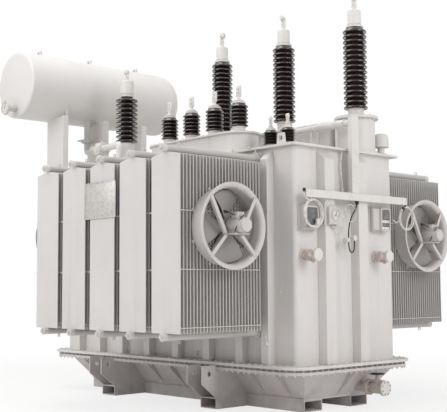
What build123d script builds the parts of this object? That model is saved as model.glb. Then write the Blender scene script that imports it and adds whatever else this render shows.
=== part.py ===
from build123d import *
import math
import os

# Oil-immersed power transformer, free-standing on its own welded skid base.
# Millimetres, +Z up, ground at Z = 0, tank length along X, radiator banks at -Y and +Y.
# Shapes are drawn about the middle of the tank, and save() moves them to the middle of the whole footprint.

# Base
skid_half_length = 2261
skid_inner_y = 275
skid_outer_y = 605
skid_height = 141
beam_wall = 14
cross_beam_x = 1094
cross_beam_width = 306
cross_beam_end_y = 1152
base_plate_thickness = 20
base_plate_overlap = 15

# Lower tank, main tank and the bolted flange between them
lower_tank_top_z = 495
lower_tank_flare = 250
tank_half_length = 2470
tank_half_width = 945
tank_corner_radius = 60
flange_overhang = 210
flange_corner_radius = 300
flange_thickness = 35
flange_gap = 30
packing_setback = 80
lower_flange_setback = 25
cover_top_z = 3300
cover_thickness = 30
cover_overhang = 76
cover_corner_radius = 40

# Stiffening ribs on the tank walls
side_rib_width = 130
side_rib_depth = 120
side_rib_end_x = 2045
rib_top_drop = 30
rib_top_slope = 110
end_rib_y = (-440, 200)
end_rib_front = 180
end_rib_root = 220
end_rib_depth = 120

# Plates that haul and stiffen the base
haul_plate_thickness = 20
haul_reach_y = 1385
haul_corner_z = 325
haul_top_z = 555
haul_hole_radius = 30
haul_hole_y = 1265
haul_hole_z = 450
haul_flange_clearance = 10
gusset_thickness = 16
gusset_reach = 115
gusset_side_x = (0, 470, 1600, 2070)

# Radiators
radiator_count = 5
radiator_pitch = 629
radiator_end_x = 1887
fin_width = 520
fin_thickness = 14
fin_pitch = 50
fin_count = 26
fin_outer_y = 2492
fin_shoulder_drop = 45
header_radius = 45
header_flat = 50
header_top_z = 3150
header_bottom_z = 985
header_cap_reach = 60
header_flange_radius = 80
header_flange_thickness = 40
header_flange_y = 1020

# Fans on the outer faces of the end radiators
fan_y = 1870
fan_z = 2252
fan_seat_gap = 0.3
fan_throat_radius = 440
fan_mouth_radius = 509
fan_depth = 233
fan_sheet = 12
fan_flare_depth = 60
fan_strut_width = 44
fan_strut_thickness = 5
fan_strut_depth = 46
fan_strut_angles = (45, 135, 225, 315)
fan_shelf_reach = 118
fan_shelf_thickness = 12
fan_shelf_z = (150, 360)
motor_foot_width = 150
motor_foot_z = (205, 330)
motor_radius = 92
motor_length = 255
motor_cap_length = 22
motor_cap_radius = 84
terminal_box = dict(z=(235, 345), half_width=52, height=62)
terminal_gland_radius = 20
terminal_gland_reach = 36
shaft_radius = 14
shaft_clearance = 0.05
rotor_tip_gap = 14
rotor_hub_radius = 100
rotor_hub_z = (50, 130)
blade_count = 4
blade_root_chord = 150
blade_tip_chord = 520
blade_root_angle = 38
blade_tip_angle = 12
blade_thickness = 8
blade_root_sink = 25
hub_chamfer = 12
hub_floor = 8
shaft_end_gap = 5

# Raised boxes on the cover that carry the bushings
hv_y = 500
hv_pitch = 1330
hv_first_x = 2250
hv_box_half_width = 280
hv_box_back = 350
hv_box_top_z = 3740
hv_box_flange = 25
hv_box_overhang = 40
hv_post_count = 4
hv_post_pitch = 760
turret_radius = 250
turret_flange_radius = 295
turret_top_z = 3800
turret_flange = 35
lv_y = -450
lv_pitch = 500
lv_first_x = 965
lv_count = 4
lv_box_radius = 270
lv_box_top_z = 3640
lv_box_flange = 25
lv_box_overhang = 35
aux_x = (1580, 1890)

# Bushings: porcelain between two metal ends
hv_porcelain = dict(bottom=3920, top=5025, core=118, shed=162, count=16, neck=0.38)
hv_base_radius = 104
hv_base_flange_radius = 150
hv_base_flange = 40
hv_cap_radius = 92
hv_cap_height = 245
hv_terminal_height = 170
neutral_x = -2000
neutral_y = -160
neutral_porcelain = dict(bottom=3900, top=4640, core=98, shed=180, count=10, neck=0.36)
neutral_cap_radius = 112
neutral_cap_height = 268
neutral_base_radius = 120
neutral_flange_radius = 165
lv_porcelain = dict(bottom=3745, top=4060, core=94, shed=128, count=6, neck=0.38)
lv_flag_height = 150
hv_terminal = (90, 24)
neutral_terminal = (80, 24)
neutral_terminal_height = 120
lv_base = (90, 125, 30)
lv_cap_height = 60
lv_cap_radius = 62
lv_terminal = (100, 20)
aux_base = (50, 75, 25)
aux_cap_height = 45
aux_cap_radius = 36
aux_terminal = (55, 16)
aux_terminal_height = 130
terminal_stem = 60
terminal_root = 40
terminal_hole_radius = 7
aux_porcelain = dict(bottom=3420, top=3605, core=72, shed=100, count=5, neck=0.38)

# Conservator, a closed drum across the -X end
drum_gap = 310
drum_z = 4888
drum_radius = 548
drum_near_y = -1425
drum_far_y = 1450
drum_wall = 10
drum_dish = 330
drum_crown = 30
drum_knuckle = 34
column_y = (-810, 0, 810)
column_gap = 330
column_depth = 550
column_top_z = 4380
column_plate = 16
column_flange_width = 100
column_foot_z = 3000
bracket_height = 180
brace_foot_z = 2150
brace_height = 120

# Pipe from the drum through the gas relay to the cover
relay_drop_offset = 180
relay_drop_y = -150
relay_bend_z = 3850
relay_entry = (-1650, -560)
relay_entry_z = 3790
relay_pipe_radius = 55
relay_drop_bend = 190
relay_entry_bend = 150
relay_valve_z = 4040
relay_flange_radius = 105
relay_flange = 22
bellows_radius = 84
bellows_count = 7
bellows_pitch = 32
relay_body = 190
relay_start = 640
bellows_start = 300
drum_lug_y = 1000
drum_lug_width = 120
drum_lug_height = 78
drum_lug_hole = 20
drum_stub_z = 4830
drum_stub_radius = 40
drum_stub_reach = 65
gauge_offset_x = 20
gauge_z = 4480
gauge_reach = 190
gauge_stub_radius = 50
gauge_disc_radius = 118
gauge_disc_depth = 40

# Fittings on the +X end wall
tray_y = (-935, 1045)
tray_z = (2625, 2722)
tray_depth = 60
riser_y = (-78, 62)
riser_top_z = 3720
near_box = dict(y=(-880, -640), z=(2230, 2540), depth=120)
middle_box = dict(y=(-545, -335), z=(2300, 2530), depth=70)
far_box = dict(y=(440, 800), z=(2270, 2570), depth=100)
valve_y = (-805, 570)
valve_z = 1930
valve_reach = 250
valve_pipe_radius = 34
valve_flange_radius = 76
valve_flange = 22
valve_body_x = (112, 210)
valve_body_half = 48
valve_stem_radius = 16
lead_radius = 7
lead_gap = 0.3
near_coil = (-790, 165)
far_coil = (1055, 150)

# Fittings on the cover
conduit_y = 40
conduit_z = 3650
conduit_start_x = 1480
conduit_radius = 38
conduit_sleeve_x = (1940, 2440)
conduit_sleeve_radius = 52
conduit_post_x = (1560, 1860, 2300)
lug_x = 2150
lug_y = 840
lug_width = 150
lug_height = 170
lug_thickness = 30
lug_hole_radius = 32
relief_x = 2400
relief_y = 830
relief_radius = 105
relief_height = 300
relief_flange = (75, 25)
relief_neck = 48
relief_skirt = 110

# Drain valve at the foot of the +X end
drain_y = 350
drain_z = 262
drain_pipe_radius = 60
drain_flange_radius = 98
drain_flange = 28
drain_inlet_x = 2480
drain_face_x = 2790
drain_body_radius = 74
drain_body_half = 55
drain_joint_gap = 2
bonnet_radius = 46
bonnet_top_z = 375
stem_x = 2645
stem_radius = 12
stem_clearance = 0.05
wheel_z = 436
wheel_radius = 88
wheel_rim = 8
wheel_hub_radius = 22
wheel_hub_height = 24
wheel_spokes = 4
wheel_spoke_width = 12


def block(x0, x1, y0, y1, z0, z1):
    """A box between two corners."""
    size = Box(x1 - x0, y1 - y0, z1 - z0)
    return Pos((x0 + x1) / 2, (y0 + y1) / 2, (z0 + z1) / 2) * size


def rod(start, end, radius):
    """A round bar between two points."""
    a = Vector(*start)
    b = Vector(*end)
    face = Plane(origin=a, z_dir=b - a) * Circle(radius)
    return extrude(face, amount=(b - a).length)


def bar_z(x, y, z0, z1, radius):
    """An upright round bar."""
    return rod((x, y, z0), (x, y, z1), radius)


def plate_yz(points, x0, x1):
    """A plate that lies across X, from its outline in Y and Z."""
    face = Plane.YZ * make_face(Polyline(*points, close=True))
    return Pos(x0, 0, 0) * extrude(face, amount=x1 - x0)


def plate_xz(points, y0, y1):
    """A plate that lies across Y, from its outline in X and Z."""
    face = Plane.XZ * make_face(Polyline(*points, close=True))
    return Pos(0, y0, 0) * extrude(face, amount=-(y1 - y0))


def slab(half_x, half_y, radius, z0, z1):
    """A flat plate with round corners."""
    outline = RectangleRounded(2 * half_x, 2 * half_y, radius)
    return Pos(0, 0, z0) * extrude(outline, amount=z1 - z0)


def turned(points):
    """A solid of revolution about Z, from an outline of radius and height."""
    face = Plane.XZ * make_face(Polyline(*points, close=True))
    return revolve(face, axis=Axis.Z)


def both_sides(shapes):
    """The shapes and their mirror images across the tank's long centre plane."""
    return shapes + [mirror(s, about=Plane.XZ) for s in shapes]


def both_ends(shapes):
    """The shapes and their mirror images across the tank's middle."""
    return shapes + [mirror(s, about=Plane.YZ) for s in shapes]


def group(shapes):
    """Several solids of one node, side by side."""
    return Compound(children=[s for shape in shapes for s in shape.solids()])


# Values that follow from the sizes above
tank_top_z = cover_top_z - cover_thickness
base_plate_z = skid_height + base_plate_thickness
packing_z = lower_tank_top_z + flange_thickness
tank_base_z = packing_z + flange_gap
tank_flange_top_z = tank_base_z + flange_thickness
fin_face_x = radiator_end_x + fin_width / 2
radiator_x = [radiator_end_x - i * radiator_pitch for i in range(radiator_count)]
fin_face_left_x = radiator_x[-1] - fin_width / 2
fan_strut_z = fan_depth - fan_strut_depth
motor_back_z = fan_strut_z - 14
rotor_radius = fan_throat_radius - rotor_tip_gap
drum_x = -tank_half_length - drum_gap - drum_radius
column_front_x = -tank_half_length - column_gap
column_back_x = column_front_x - column_depth
relay_drop = (drum_x + relay_drop_offset, relay_drop_y)
rib_x = [x - radiator_pitch / 2 for x in radiator_x]
rib_x = [side_rib_end_x] + rib_x + [-1500, -side_rib_end_x]


def hollow_beam_x(x0, x1, y0, y1):
    """A box beam along X, open at both ends."""
    outside = block(x0, x1, y0, y1, 0, skid_height)
    inside = block(x0 - 1, x1 + 1, y0 + beam_wall, y1 - beam_wall, beam_wall, skid_height - beam_wall)
    return outside - inside


def hollow_beam_y(x0, x1, y0, y1):
    """A box beam along Y, open at both ends."""
    outside = block(x0, x1, y0, y1, 0, skid_height)
    inside = block(x0 + beam_wall, x1 - beam_wall, y0 - 1, y1 + 1, beam_wall, skid_height - beam_wall)
    return outside - inside


def skids():
    near = hollow_beam_x(-skid_half_length, skid_half_length, -skid_outer_y, -skid_inner_y)
    return group(both_sides([near]))


def cross_beams():
    left = cross_beam_x - cross_beam_width / 2
    right = cross_beam_x + cross_beam_width / 2
    outer = hollow_beam_y(left, right, -cross_beam_end_y, -skid_outer_y)
    middle = hollow_beam_y(left, right, -skid_inner_y, skid_inner_y)
    return group(both_ends(both_sides([outer]) + [middle]))


def lower_tank_body():
    bottom = Pos(0, 0, base_plate_z) * Rectangle(2 * skid_half_length, 2 * skid_outer_y)
    top_x = skid_half_length + lower_tank_flare
    top_y = skid_outer_y + lower_tank_flare
    top = Pos(0, 0, lower_tank_top_z) * Rectangle(2 * top_x, 2 * top_y)
    return loft([bottom, top])


def lower_tank():
    plate_x = skid_half_length
    plate_y = skid_outer_y + base_plate_overlap
    plate = block(-plate_x, plate_x, -plate_y, plate_y, skid_height, base_plate_z)
    reach = flange_overhang - lower_flange_setback
    flange = slab(
        tank_half_length + reach, tank_half_width + reach, flange_corner_radius, lower_tank_top_z, packing_z
    )
    reach = flange_overhang - packing_setback
    packing = slab(
        tank_half_length + reach, tank_half_width + reach, flange_corner_radius - packing_setback,
        packing_z, tank_base_z
    )
    return lower_tank_body() + plate + flange + packing


def haul_plate(x0, x1, hull):
    """One upright plate on the edge of a cross beam, with its pulling hole."""
    flange_y = tank_half_width + flange_overhang + haul_flange_clearance
    outline = [
        (-skid_inner_y, skid_height),
        (-cross_beam_end_y, skid_height),
        (-haul_reach_y, haul_corner_z),
        (-haul_reach_y, haul_top_z),
        (-flange_y, haul_top_z),
        (-flange_y, lower_tank_top_z),
        (-skid_inner_y, lower_tank_top_z),
    ]
    plate = plate_yz(outline, x0, x1)
    hole = rod((x0 - 1, -haul_hole_y, haul_hole_z), (x1 + 1, -haul_hole_y, haul_hole_z), haul_hole_radius)
    return plate - hole - hull


def haul_plates(hull):
    left = cross_beam_x - cross_beam_width / 2
    right = cross_beam_x + cross_beam_width / 2
    pair = [
        haul_plate(left, left + haul_plate_thickness, hull),
        haul_plate(right - haul_plate_thickness, right, hull),
    ]
    return group(both_ends(both_sides(pair)))


def base_gussets(hull):
    top_y = skid_outer_y + lower_tank_flare + gusset_reach
    side = [(-skid_inner_y, base_plate_z), (-skid_outer_y, base_plate_z), (-top_y, lower_tank_top_z)]
    side = side + [(-skid_inner_y, lower_tank_top_z)]
    half = gusset_thickness / 2
    right = [plate_yz(side, x - half, x + half) - hull for x in gusset_side_x if x > 0]
    middle = [plate_yz(side, x - half, x + half) - hull for x in gusset_side_x if x == 0]
    top_x = skid_half_length + lower_tank_flare + gusset_reach
    end = [(skid_inner_y, base_plate_z), (skid_half_length, base_plate_z), (top_x, lower_tank_top_z)]
    end = end + [(skid_inner_y, lower_tank_top_z)]
    ends = [plate_xz(end, -half, half) - hull]
    return group(both_ends(both_sides(right) + ends) + both_sides(middle))


def tank():
    walls = slab(tank_half_length, tank_half_width, tank_corner_radius, tank_base_z, tank_top_z)
    flange = slab(
        tank_half_length + flange_overhang, tank_half_width + flange_overhang,
        flange_corner_radius, tank_base_z, tank_flange_top_z
    )
    return walls + flange


def tank_ribs():
    top = tank_top_z - rib_top_drop
    y0 = tank_half_width
    y1 = tank_half_width + side_rib_depth
    outline = [(-y0, tank_flange_top_z), (-y1, tank_flange_top_z), (-y1, top - rib_top_slope), (-y0, top)]
    half = side_rib_width / 2
    sides = both_sides([plate_yz(outline, x - half, x + half) for x in rib_x])
    x0 = tank_half_length
    x1 = tank_half_length + end_rib_depth
    outline = [(x0, tank_flange_top_z), (x1, tank_flange_top_z), (x1, top - rib_top_slope), (x0, top)]
    ends = []
    for y in end_rib_y:
        front = end_rib_front / 2
        root = end_rib_root / 2
        plan = [(x0, y - root), (x1, y - front), (x1, y + front), (x0, y + root)]
        post = extrude(make_face(Polyline(*plan, close=True)), amount=cover_top_z)
        ends.append(post & plate_xz(outline, y - end_rib_root, y + end_rib_root))
    return group(sides + both_ends(ends))


def tank_cover():
    return slab(
        tank_half_length + cover_overhang, tank_half_width + cover_overhang,
        cover_corner_radius, tank_top_z, cover_top_z
    )


def hv_box():
    x0 = hv_first_x - 2 * hv_pitch - hv_box_back
    x1 = hv_first_x - turret_radius
    y0 = hv_y - hv_box_half_width
    y1 = hv_y + hv_box_half_width
    z = hv_box_top_z - hv_box_flange
    over = hv_box_overhang
    body = block(x0, x1, y0, y1, cover_top_z, z)
    flange = block(x0 - over, x1, y0 - over, y1 + over, z, hv_box_top_z)
    half = gusset_thickness / 2
    posts = []
    for i in range(hv_post_count):
        x = x1 - hv_box_back / 2 - i * hv_post_pitch
        posts.append(block(x - half, x + half, y0 - over, y1 + over, cover_top_z, z))
    return body + flange + posts


def hv_turret():
    z = turret_top_z - turret_flange
    outline = [
        (0, cover_top_z), (turret_radius, cover_top_z), (turret_radius, z),
        (turret_flange_radius, z), (turret_flange_radius, turret_top_z), (0, turret_top_z)
    ]
    return Pos(hv_first_x, hv_y, 0) * turned(outline)


def lv_box():
    length = (lv_count - 1) * lv_pitch
    x = lv_first_x - length / 2
    z = lv_box_top_z - lv_box_flange
    body = SlotCenterToCenter(length, 2 * lv_box_radius)
    flange = SlotCenterToCenter(length, 2 * (lv_box_radius + lv_box_overhang))
    low = Pos(x, lv_y, cover_top_z) * extrude(body, amount=z - cover_top_z)
    high = Pos(x, lv_y, z) * extrude(flange, amount=lv_box_flange)
    return low + high


def insulator(x, y, sizes):
    """A porcelain with its row of sheds, each sloping down to a thin rim."""
    pitch = (sizes["top"] - sizes["bottom"]) / sizes["count"]
    core = sizes["core"]
    points = [(0, sizes["bottom"]), (core, sizes["bottom"])]
    for i in range(sizes["count"]):
        z = sizes["bottom"] + i * pitch
        points.append((core, z + 0.12 * pitch))
        points.append((sizes["shed"], z + 0.08 * pitch))
        points.append((core, z + (1 - sizes["neck"]) * pitch))
    points.append((core, sizes["top"]))
    points.append((0, sizes["top"]))
    return Pos(x, y, 0) * turned(points)


def hv_places():
    return [(hv_first_x - i * hv_pitch, hv_y) for i in range(3)]


def bushing_base(x, y, foot_z, top_z, radius, flange_radius, flange):
    outline = [
        (0, foot_z), (flange_radius, foot_z), (flange_radius, foot_z + flange), (radius, foot_z + flange),
        (radius, top_z), (0, top_z)
    ]
    return Pos(x, y, 0) * turned(outline)


def bushing_cap(x, y, foot_z, height, radius, stem_height):
    """A metal head with a narrower dome and a terminal stem above it."""
    neck = foot_z + 0.16 * height
    outline = [
        (0, foot_z), (radius * 1.12, foot_z), (radius * 1.12, neck), (radius, neck),
        (radius, foot_z + 0.85 * height), (radius * 0.62, foot_z + height), (radius * 0.22, foot_z + height),
        (radius * 0.22, foot_z + height + stem_height), (0, foot_z + height + stem_height)
    ]
    return Pos(x, y, 0) * turned(outline)


def terminal_pad(x, y, foot_z, height, size):
    """A flat upright pad with its two bolt holes."""
    width, thickness = size
    top_z = foot_z + height
    pad = block(x - width / 2, x + width / 2, y - thickness / 2, y + thickness / 2, foot_z, top_z)
    for z in (foot_z + 0.35 * height, foot_z + 0.75 * height):
        pad = pad - rod((x, y - thickness, z), (x, y + thickness, z), terminal_hole_radius)
    return pad


def bushing_head(x, y, top, cap_height, cap_radius, pad_height, pad_size):
    """The metal above a porcelain: cap, stem and terminal pad."""
    cap = bushing_cap(x, y, top, cap_height, cap_radius, terminal_stem)
    return cap + terminal_pad(x, y, top + cap_height + terminal_root, pad_height, pad_size)


def hv_bushing_metal():
    pieces = []
    bottom, top = hv_porcelain["bottom"], hv_porcelain["top"]
    for i, (x, y) in enumerate(hv_places()):
        foot = turret_top_z if i == 0 else hv_box_top_z
        pieces.append(bushing_base(x, y, foot, bottom, hv_base_radius, hv_base_flange_radius, hv_base_flange))
        pieces.append(bushing_head(x, y, top, hv_cap_height, hv_cap_radius, hv_terminal_height, hv_terminal))
    return group(pieces)


def neutral_metal():
    x, y = neutral_x, neutral_y
    bottom, top = neutral_porcelain["bottom"], neutral_porcelain["top"]
    base = bushing_base(x, y, cover_top_z, bottom, neutral_base_radius, neutral_flange_radius, hv_base_flange)
    head = bushing_head(
        x, y, top, neutral_cap_height, neutral_cap_radius, neutral_terminal_height, neutral_terminal
    )
    return group([base, head])


def lv_places():
    return [(lv_first_x - i * lv_pitch, lv_y) for i in range(lv_count)]


def lv_bushing_metal():
    pieces = []
    bottom, top = lv_porcelain["bottom"], lv_porcelain["top"]
    for x, y in lv_places():
        pieces.append(bushing_base(x, y, lv_box_top_z, bottom, *lv_base))
        pieces.append(bushing_head(x, y, top, lv_cap_height, lv_cap_radius, lv_flag_height, lv_terminal))
    return group(pieces)


def aux_bushing_metal():
    pieces = []
    bottom, top = aux_porcelain["bottom"], aux_porcelain["top"]
    for x in aux_x:
        pieces.append(bushing_base(x, lv_y, cover_top_z, bottom, *aux_base))
        head = bushing_head(x, lv_y, top, aux_cap_height, aux_cap_radius, aux_terminal_height, aux_terminal)
        pieces.append(head)
    return group(pieces)


def header(z, flip):
    """A radiator header pipe from the tank wall to its end cap, flat where the fins are welded on."""
    depth = math.sqrt(header_radius**2 - (header_flat / 2) ** 2)
    section = Circle(header_radius) - Pos(0, -depth - header_radius) * Rectangle(
        4 * header_radius, 2 * header_radius
    )
    length = fin_outer_y + header_cap_reach - tank_half_width
    pipe = extrude(Plane.XZ * section, amount=-length)
    if flip:
        pipe = Rot(0, 180, 0) * pipe
    flange = extrude(Plane.XZ * RegularPolygon(header_flange_radius, 8), amount=-header_flange_thickness)
    flange = Pos(0, header_flange_y, z) * flange
    return Pos(0, tank_half_width, z) * pipe + flange


def radiator():
    """One bank unit about X = 0 on the +Y side: a row of flat hollow fins between two headers."""
    depth = math.sqrt(header_radius**2 - (header_flat / 2) ** 2)
    top = header_top_z - depth
    bottom = header_bottom_z + depth
    half = fin_width / 2
    shoulder = top - fin_shoulder_drop
    outline = [
        (-half, bottom), (half, bottom), (half, shoulder), (header_flat / 2, top),
        (-header_flat / 2, top), (-half, shoulder)
    ]
    fins = []
    for i in range(fin_count):
        y1 = fin_outer_y - i * fin_pitch
        fins.append(plate_xz(outline, y1 - fin_thickness, y1))
    return header(header_top_z, False) + [header(header_bottom_z, True)] + fins


def fan_strut(angle):
    """A folded bar from the rim down to the nearer end of the motor shelf."""
    reach = fan_mouth_radius - fan_sheet / 2
    tip = Vector(reach * math.cos(math.radians(angle)), reach * math.sin(math.radians(angle)), fan_strut_z)
    side = 1 if tip.X > 0 else -1
    root = Vector(side * fan_shelf_reach, -motor_radius - fan_shelf_thickness, fan_strut_z)
    along = (tip - root).normalized()
    frame = Plane(origin=(root + tip) / 2, x_dir=along, z_dir=(0, 0, 1))
    length = (tip - root).length
    wall = fan_strut_thickness
    face = Pos(0, 0, fan_strut_depth - wall / 2) * Box(length, fan_strut_width, wall)
    fold_y = fan_strut_width / 2 - wall / 2
    fold = Pos(0, -fold_y * side, fan_strut_depth / 2) * Box(length, wall, fan_strut_depth)
    return frame * (face + fold)


def fan_ring():
    """Bell-mouthed fan ring with the folded struts and the shelf that hold the motor, about +Z."""
    throat = fan_throat_radius
    flare = fan_depth - fan_flare_depth
    outline = [
        (throat, fan_seat_gap), (throat + fan_sheet, fan_seat_gap),
        (throat + fan_sheet, flare - fan_sheet / 2),
        (fan_mouth_radius, fan_depth - fan_sheet), (fan_mouth_radius, fan_depth),
        (fan_mouth_radius - fan_sheet, fan_depth), (throat, flare)
    ]
    outside = extrude(Circle(fan_mouth_radius), amount=fan_depth)
    shelf_y = -motor_radius - fan_shelf_thickness
    shelf = block(-fan_shelf_reach, fan_shelf_reach, shelf_y, -motor_radius, fan_shelf_z[0], fan_shelf_z[1])
    half = motor_foot_width / 2
    foot = block(-half, half, -motor_radius, -motor_radius * 0.6, motor_foot_z[0], motor_foot_z[1])
    foot = foot - rod((0, 0, 0), (0, 0, 2 * fan_depth), motor_radius)
    struts = [fan_strut(angle) & outside for angle in fan_strut_angles]
    return turned(outline) + [shelf, foot] + struts


def fan_motor():
    """Motor body on the shelf, with its terminal box on top and its shaft running back to the rotor."""
    z0 = motor_back_z
    z1 = z0 + motor_length
    back = rotor_hub_z[0] + hub_floor + shaft_end_gap
    outline = [
        (0, back), (shaft_radius, back), (shaft_radius, z0), (motor_radius, z0), (motor_radius, z1),
        (0, z1)
    ]
    cap = Pos(0, 0, z1) * extrude(RegularPolygon(motor_cap_radius, 8, rotation=22.5), amount=motor_cap_length)
    box_z0, box_z1 = terminal_box["z"]
    half = terminal_box["half_width"]
    top = motor_radius + terminal_box["height"]
    box = block(-half, half, motor_radius / 2, top, box_z0, box_z1)
    gland_y = motor_radius + terminal_box["height"] / 2
    gland = rod((0, gland_y, box_z1), (0, gland_y, box_z1 + terminal_gland_reach), terminal_gland_radius)
    return turned(outline) + [cap, box, gland]


def fan_rotor():
    """Hub and broad twisted blades, trimmed to run inside the throat, about +Z."""
    z0, z1 = rotor_hub_z
    bore = shaft_radius + shaft_clearance
    outline = [
        (0, z0), (rotor_hub_radius - hub_chamfer, z0), (rotor_hub_radius, z0 + hub_chamfer),
        (rotor_hub_radius, z1), (bore, z1), (bore, z0 + hub_floor), (0, z0 + hub_floor)
    ]
    hub = turned(outline)
    middle = (z0 + z1) / 2
    disc = Pos(0, 0, z0 - fan_depth) * extrude(Circle(rotor_radius), amount=2 * fan_depth)
    blades = []
    for i in range(blade_count):
        root = Plane(origin=(rotor_hub_radius - blade_root_sink, 0, middle), x_dir=(0, 1, 0), z_dir=(1, 0, 0))
        tip = Plane(origin=(rotor_radius + blade_thickness, 0, middle), x_dir=(0, 1, 0), z_dir=(1, 0, 0))
        a = root * Rot(0, 0, blade_root_angle) * Rectangle(blade_root_chord, blade_thickness)
        b = tip * Rot(0, 0, blade_tip_angle) * Rectangle(blade_tip_chord, blade_thickness)
        blade = loft([a, b]) & disc
        blades.append(Rot(0, 0, i * 360 / blade_count) * blade)
    keep = Pos(0, 0, z0 + hub_floor) * extrude(Circle(bore), amount=fan_depth)
    return hub + [blade - keep for blade in blades]


def fan_places():
    """Where each fan sits: on the outer faces of the end radiators of both banks."""
    places = []
    for y in (-fan_y, fan_y):
        places.append(Plane(origin=(fin_face_x, y, fan_z), x_dir=(0, 1, 0), z_dir=(1, 0, 0)))
        places.append(Plane(origin=(fin_face_left_x, y, fan_z), x_dir=(0, -1, 0), z_dir=(-1, 0, 0)))
    return places


def drum_shell():
    tube = Circle(drum_radius) - Circle(drum_radius - drum_wall)
    return Pos(drum_x, drum_far_y, drum_z) * extrude(Plane.XZ * tube, amount=drum_far_y - drum_near_y)


def drum_far_end():
    """A deeply dished end of even thickness."""
    outer = drum_radius
    inner = drum_radius - drum_wall
    count = 9
    points = [(0, drum_dish)]
    for i in range(1, count):
        a = math.radians(90 * i / count)
        points.append((outer * math.sin(a), drum_dish * math.cos(a)))
    points.append((outer, 0))
    back = [(inner, 0)]
    for i in range(count - 1, 0, -1):
        a = math.radians(90 * i / count)
        back.append((inner * math.sin(a), (drum_dish - drum_wall) * math.cos(a)))
    back.append((0, drum_dish - drum_wall))
    return turned(points + back)


def drum_near_end():
    """A nearly flat end plate with a tight knuckle."""
    outline = [
        (0, 0), (drum_radius, 0), (drum_radius, drum_wall / 2), (drum_radius - drum_knuckle / 4, drum_wall),
        (drum_radius - drum_knuckle, drum_wall * 2), (0, drum_crown)
    ]
    return turned(outline)


def drum_ends():
    far = Pos(drum_x, drum_far_y, drum_z) * Rot(-90, 0, 0) * drum_far_end()
    near = Pos(drum_x, drum_near_y, drum_z) * Rot(90, 0, 0) * drum_near_end()
    return group([far, near])


def drum_hull():
    """The solid outside of the drum, for trimming what meets it."""
    return rod((drum_x, drum_near_y, drum_z), (drum_x, drum_far_y, drum_z), drum_radius)


def drum_columns():
    """Upright tee-shaped columns under the drum."""
    foot = column_foot_z + bracket_height
    half = column_plate / 2
    flange = column_flange_width / 2
    pieces = []
    for y in column_y:
        web = block(column_back_x, column_front_x, y - half, y + half, foot, column_top_z)
        edge_x = column_front_x - column_plate
        edge = block(edge_x, column_front_x, y - flange, y + flange, foot, column_top_z)
        pieces.append(web + edge - drum_hull())
    return group(pieces)


def drum_beams():
    """Beams that stand out from the tank's end wall and carry the columns."""
    flange = column_flange_width / 2
    foot = column_foot_z + bracket_height
    pieces = []
    for y in column_y:
        pieces.append(block(column_back_x, -tank_half_length, y - flange, y + flange, column_foot_z, foot))
    return group(pieces)


def drum_braces():
    """Slanting plates between the beams and the tank's end wall."""
    half = column_plate / 2
    outline = [
        (column_back_x, column_foot_z), (column_back_x + brace_height, column_foot_z),
        (-tank_half_length, brace_foot_z), (-tank_half_length, brace_foot_z - brace_height)
    ]
    return group([plate_xz(outline, y - half, y + half) for y in column_y])


def relay_pipe():
    """Pipe from under the drum, with valve, bellows and gas relay, down into the cover."""
    start = Vector(*relay_drop, drum_z)
    bend = Vector(*relay_drop, relay_bend_z)
    entry = Vector(*relay_entry, relay_entry_z)
    foot = Vector(*relay_entry, cover_top_z)
    route = FilletPolyline(start, bend, entry, foot, radius=[relay_drop_bend, relay_entry_bend])
    section = Plane(origin=start, z_dir=(0, 0, -1)) * Circle(relay_pipe_radius)
    pipe = sweep(section, path=route) - drum_hull()
    along = (entry - bend).normalized()
    pieces = []
    for dz in (-relay_flange, relay_flange / 4):
        flange = extrude(Circle(relay_flange_radius), amount=relay_flange)
        pieces.append(Pos(relay_drop[0], relay_drop[1], relay_valve_z + dz) * flange)
    for i in range(bellows_count):
        at = bend + along * (bellows_start + i * bellows_pitch)
        ring = extrude(Plane(origin=at, z_dir=along) * Circle(bellows_radius), amount=bellows_pitch / 2)
        pieces.append(ring)
    at = bend + along * relay_start
    box = extrude(Plane(origin=at, z_dir=along) * Rectangle(relay_body, relay_body), amount=relay_body)
    pieces.append(box)
    for shift in (-relay_flange, relay_body):
        face = Plane(origin=at + along * shift, z_dir=along) * Circle(relay_flange_radius)
        pieces.append(extrude(face, amount=relay_flange))
    x, y = relay_entry
    pieces.append(bar_z(x, y, cover_top_z, cover_top_z + relay_flange, relay_flange_radius))
    return pipe + pieces


def drum_fittings():
    """Lifting lugs on top of the drum and the small stub on its far end."""
    top = drum_z + drum_radius
    pieces = []
    for y in (-drum_lug_y, 0, drum_lug_y):
        half = lug_thickness / 2
        reach = drum_lug_width / 2
        lug = block(drum_x - reach, drum_x + reach, y - half, y + half, drum_z, top + drum_lug_height)
        z = top + drum_lug_height - 2 * drum_lug_hole
        hole = rod((drum_x, y - half - 1, z), (drum_x, y + half + 1, z), drum_lug_hole)
        pieces.append(lug - hole - drum_hull())
    end = drum_far_y + drum_dish
    start = (drum_x, end - drum_stub_reach, drum_stub_z)
    stub = rod(start, (drum_x, end + drum_stub_reach, drum_stub_z), drum_stub_radius) - drum_ends()
    pieces.append(stub.solids().sort_by(Axis.Y)[-1])
    return group(pieces)


def level_gauge():
    """Round oil level gauge on a stub at the near end of the drum."""
    x = drum_x + gauge_offset_x
    y = drum_near_y - gauge_reach
    stub = rod((x, y, gauge_z), (x, drum_near_y - drum_wall / 2, gauge_z), gauge_stub_radius) - drum_ends()
    stub = stub.solids().sort_by(Axis.Y)[0]
    return stub + rod((x, y - gauge_disc_depth, gauge_z), (x, y, gauge_z), gauge_disc_radius)


def cable_tray():
    x0 = tank_half_length + end_rib_depth
    return block(x0, x0 + tray_depth, tray_y[0], tray_y[1], tray_z[0], tray_z[1])


def cable_riser():
    x0 = tank_half_length + end_rib_depth
    return block(x0, x0 + tray_depth, riser_y[0], riser_y[1], tray_z[1], riser_top_z)


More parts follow.
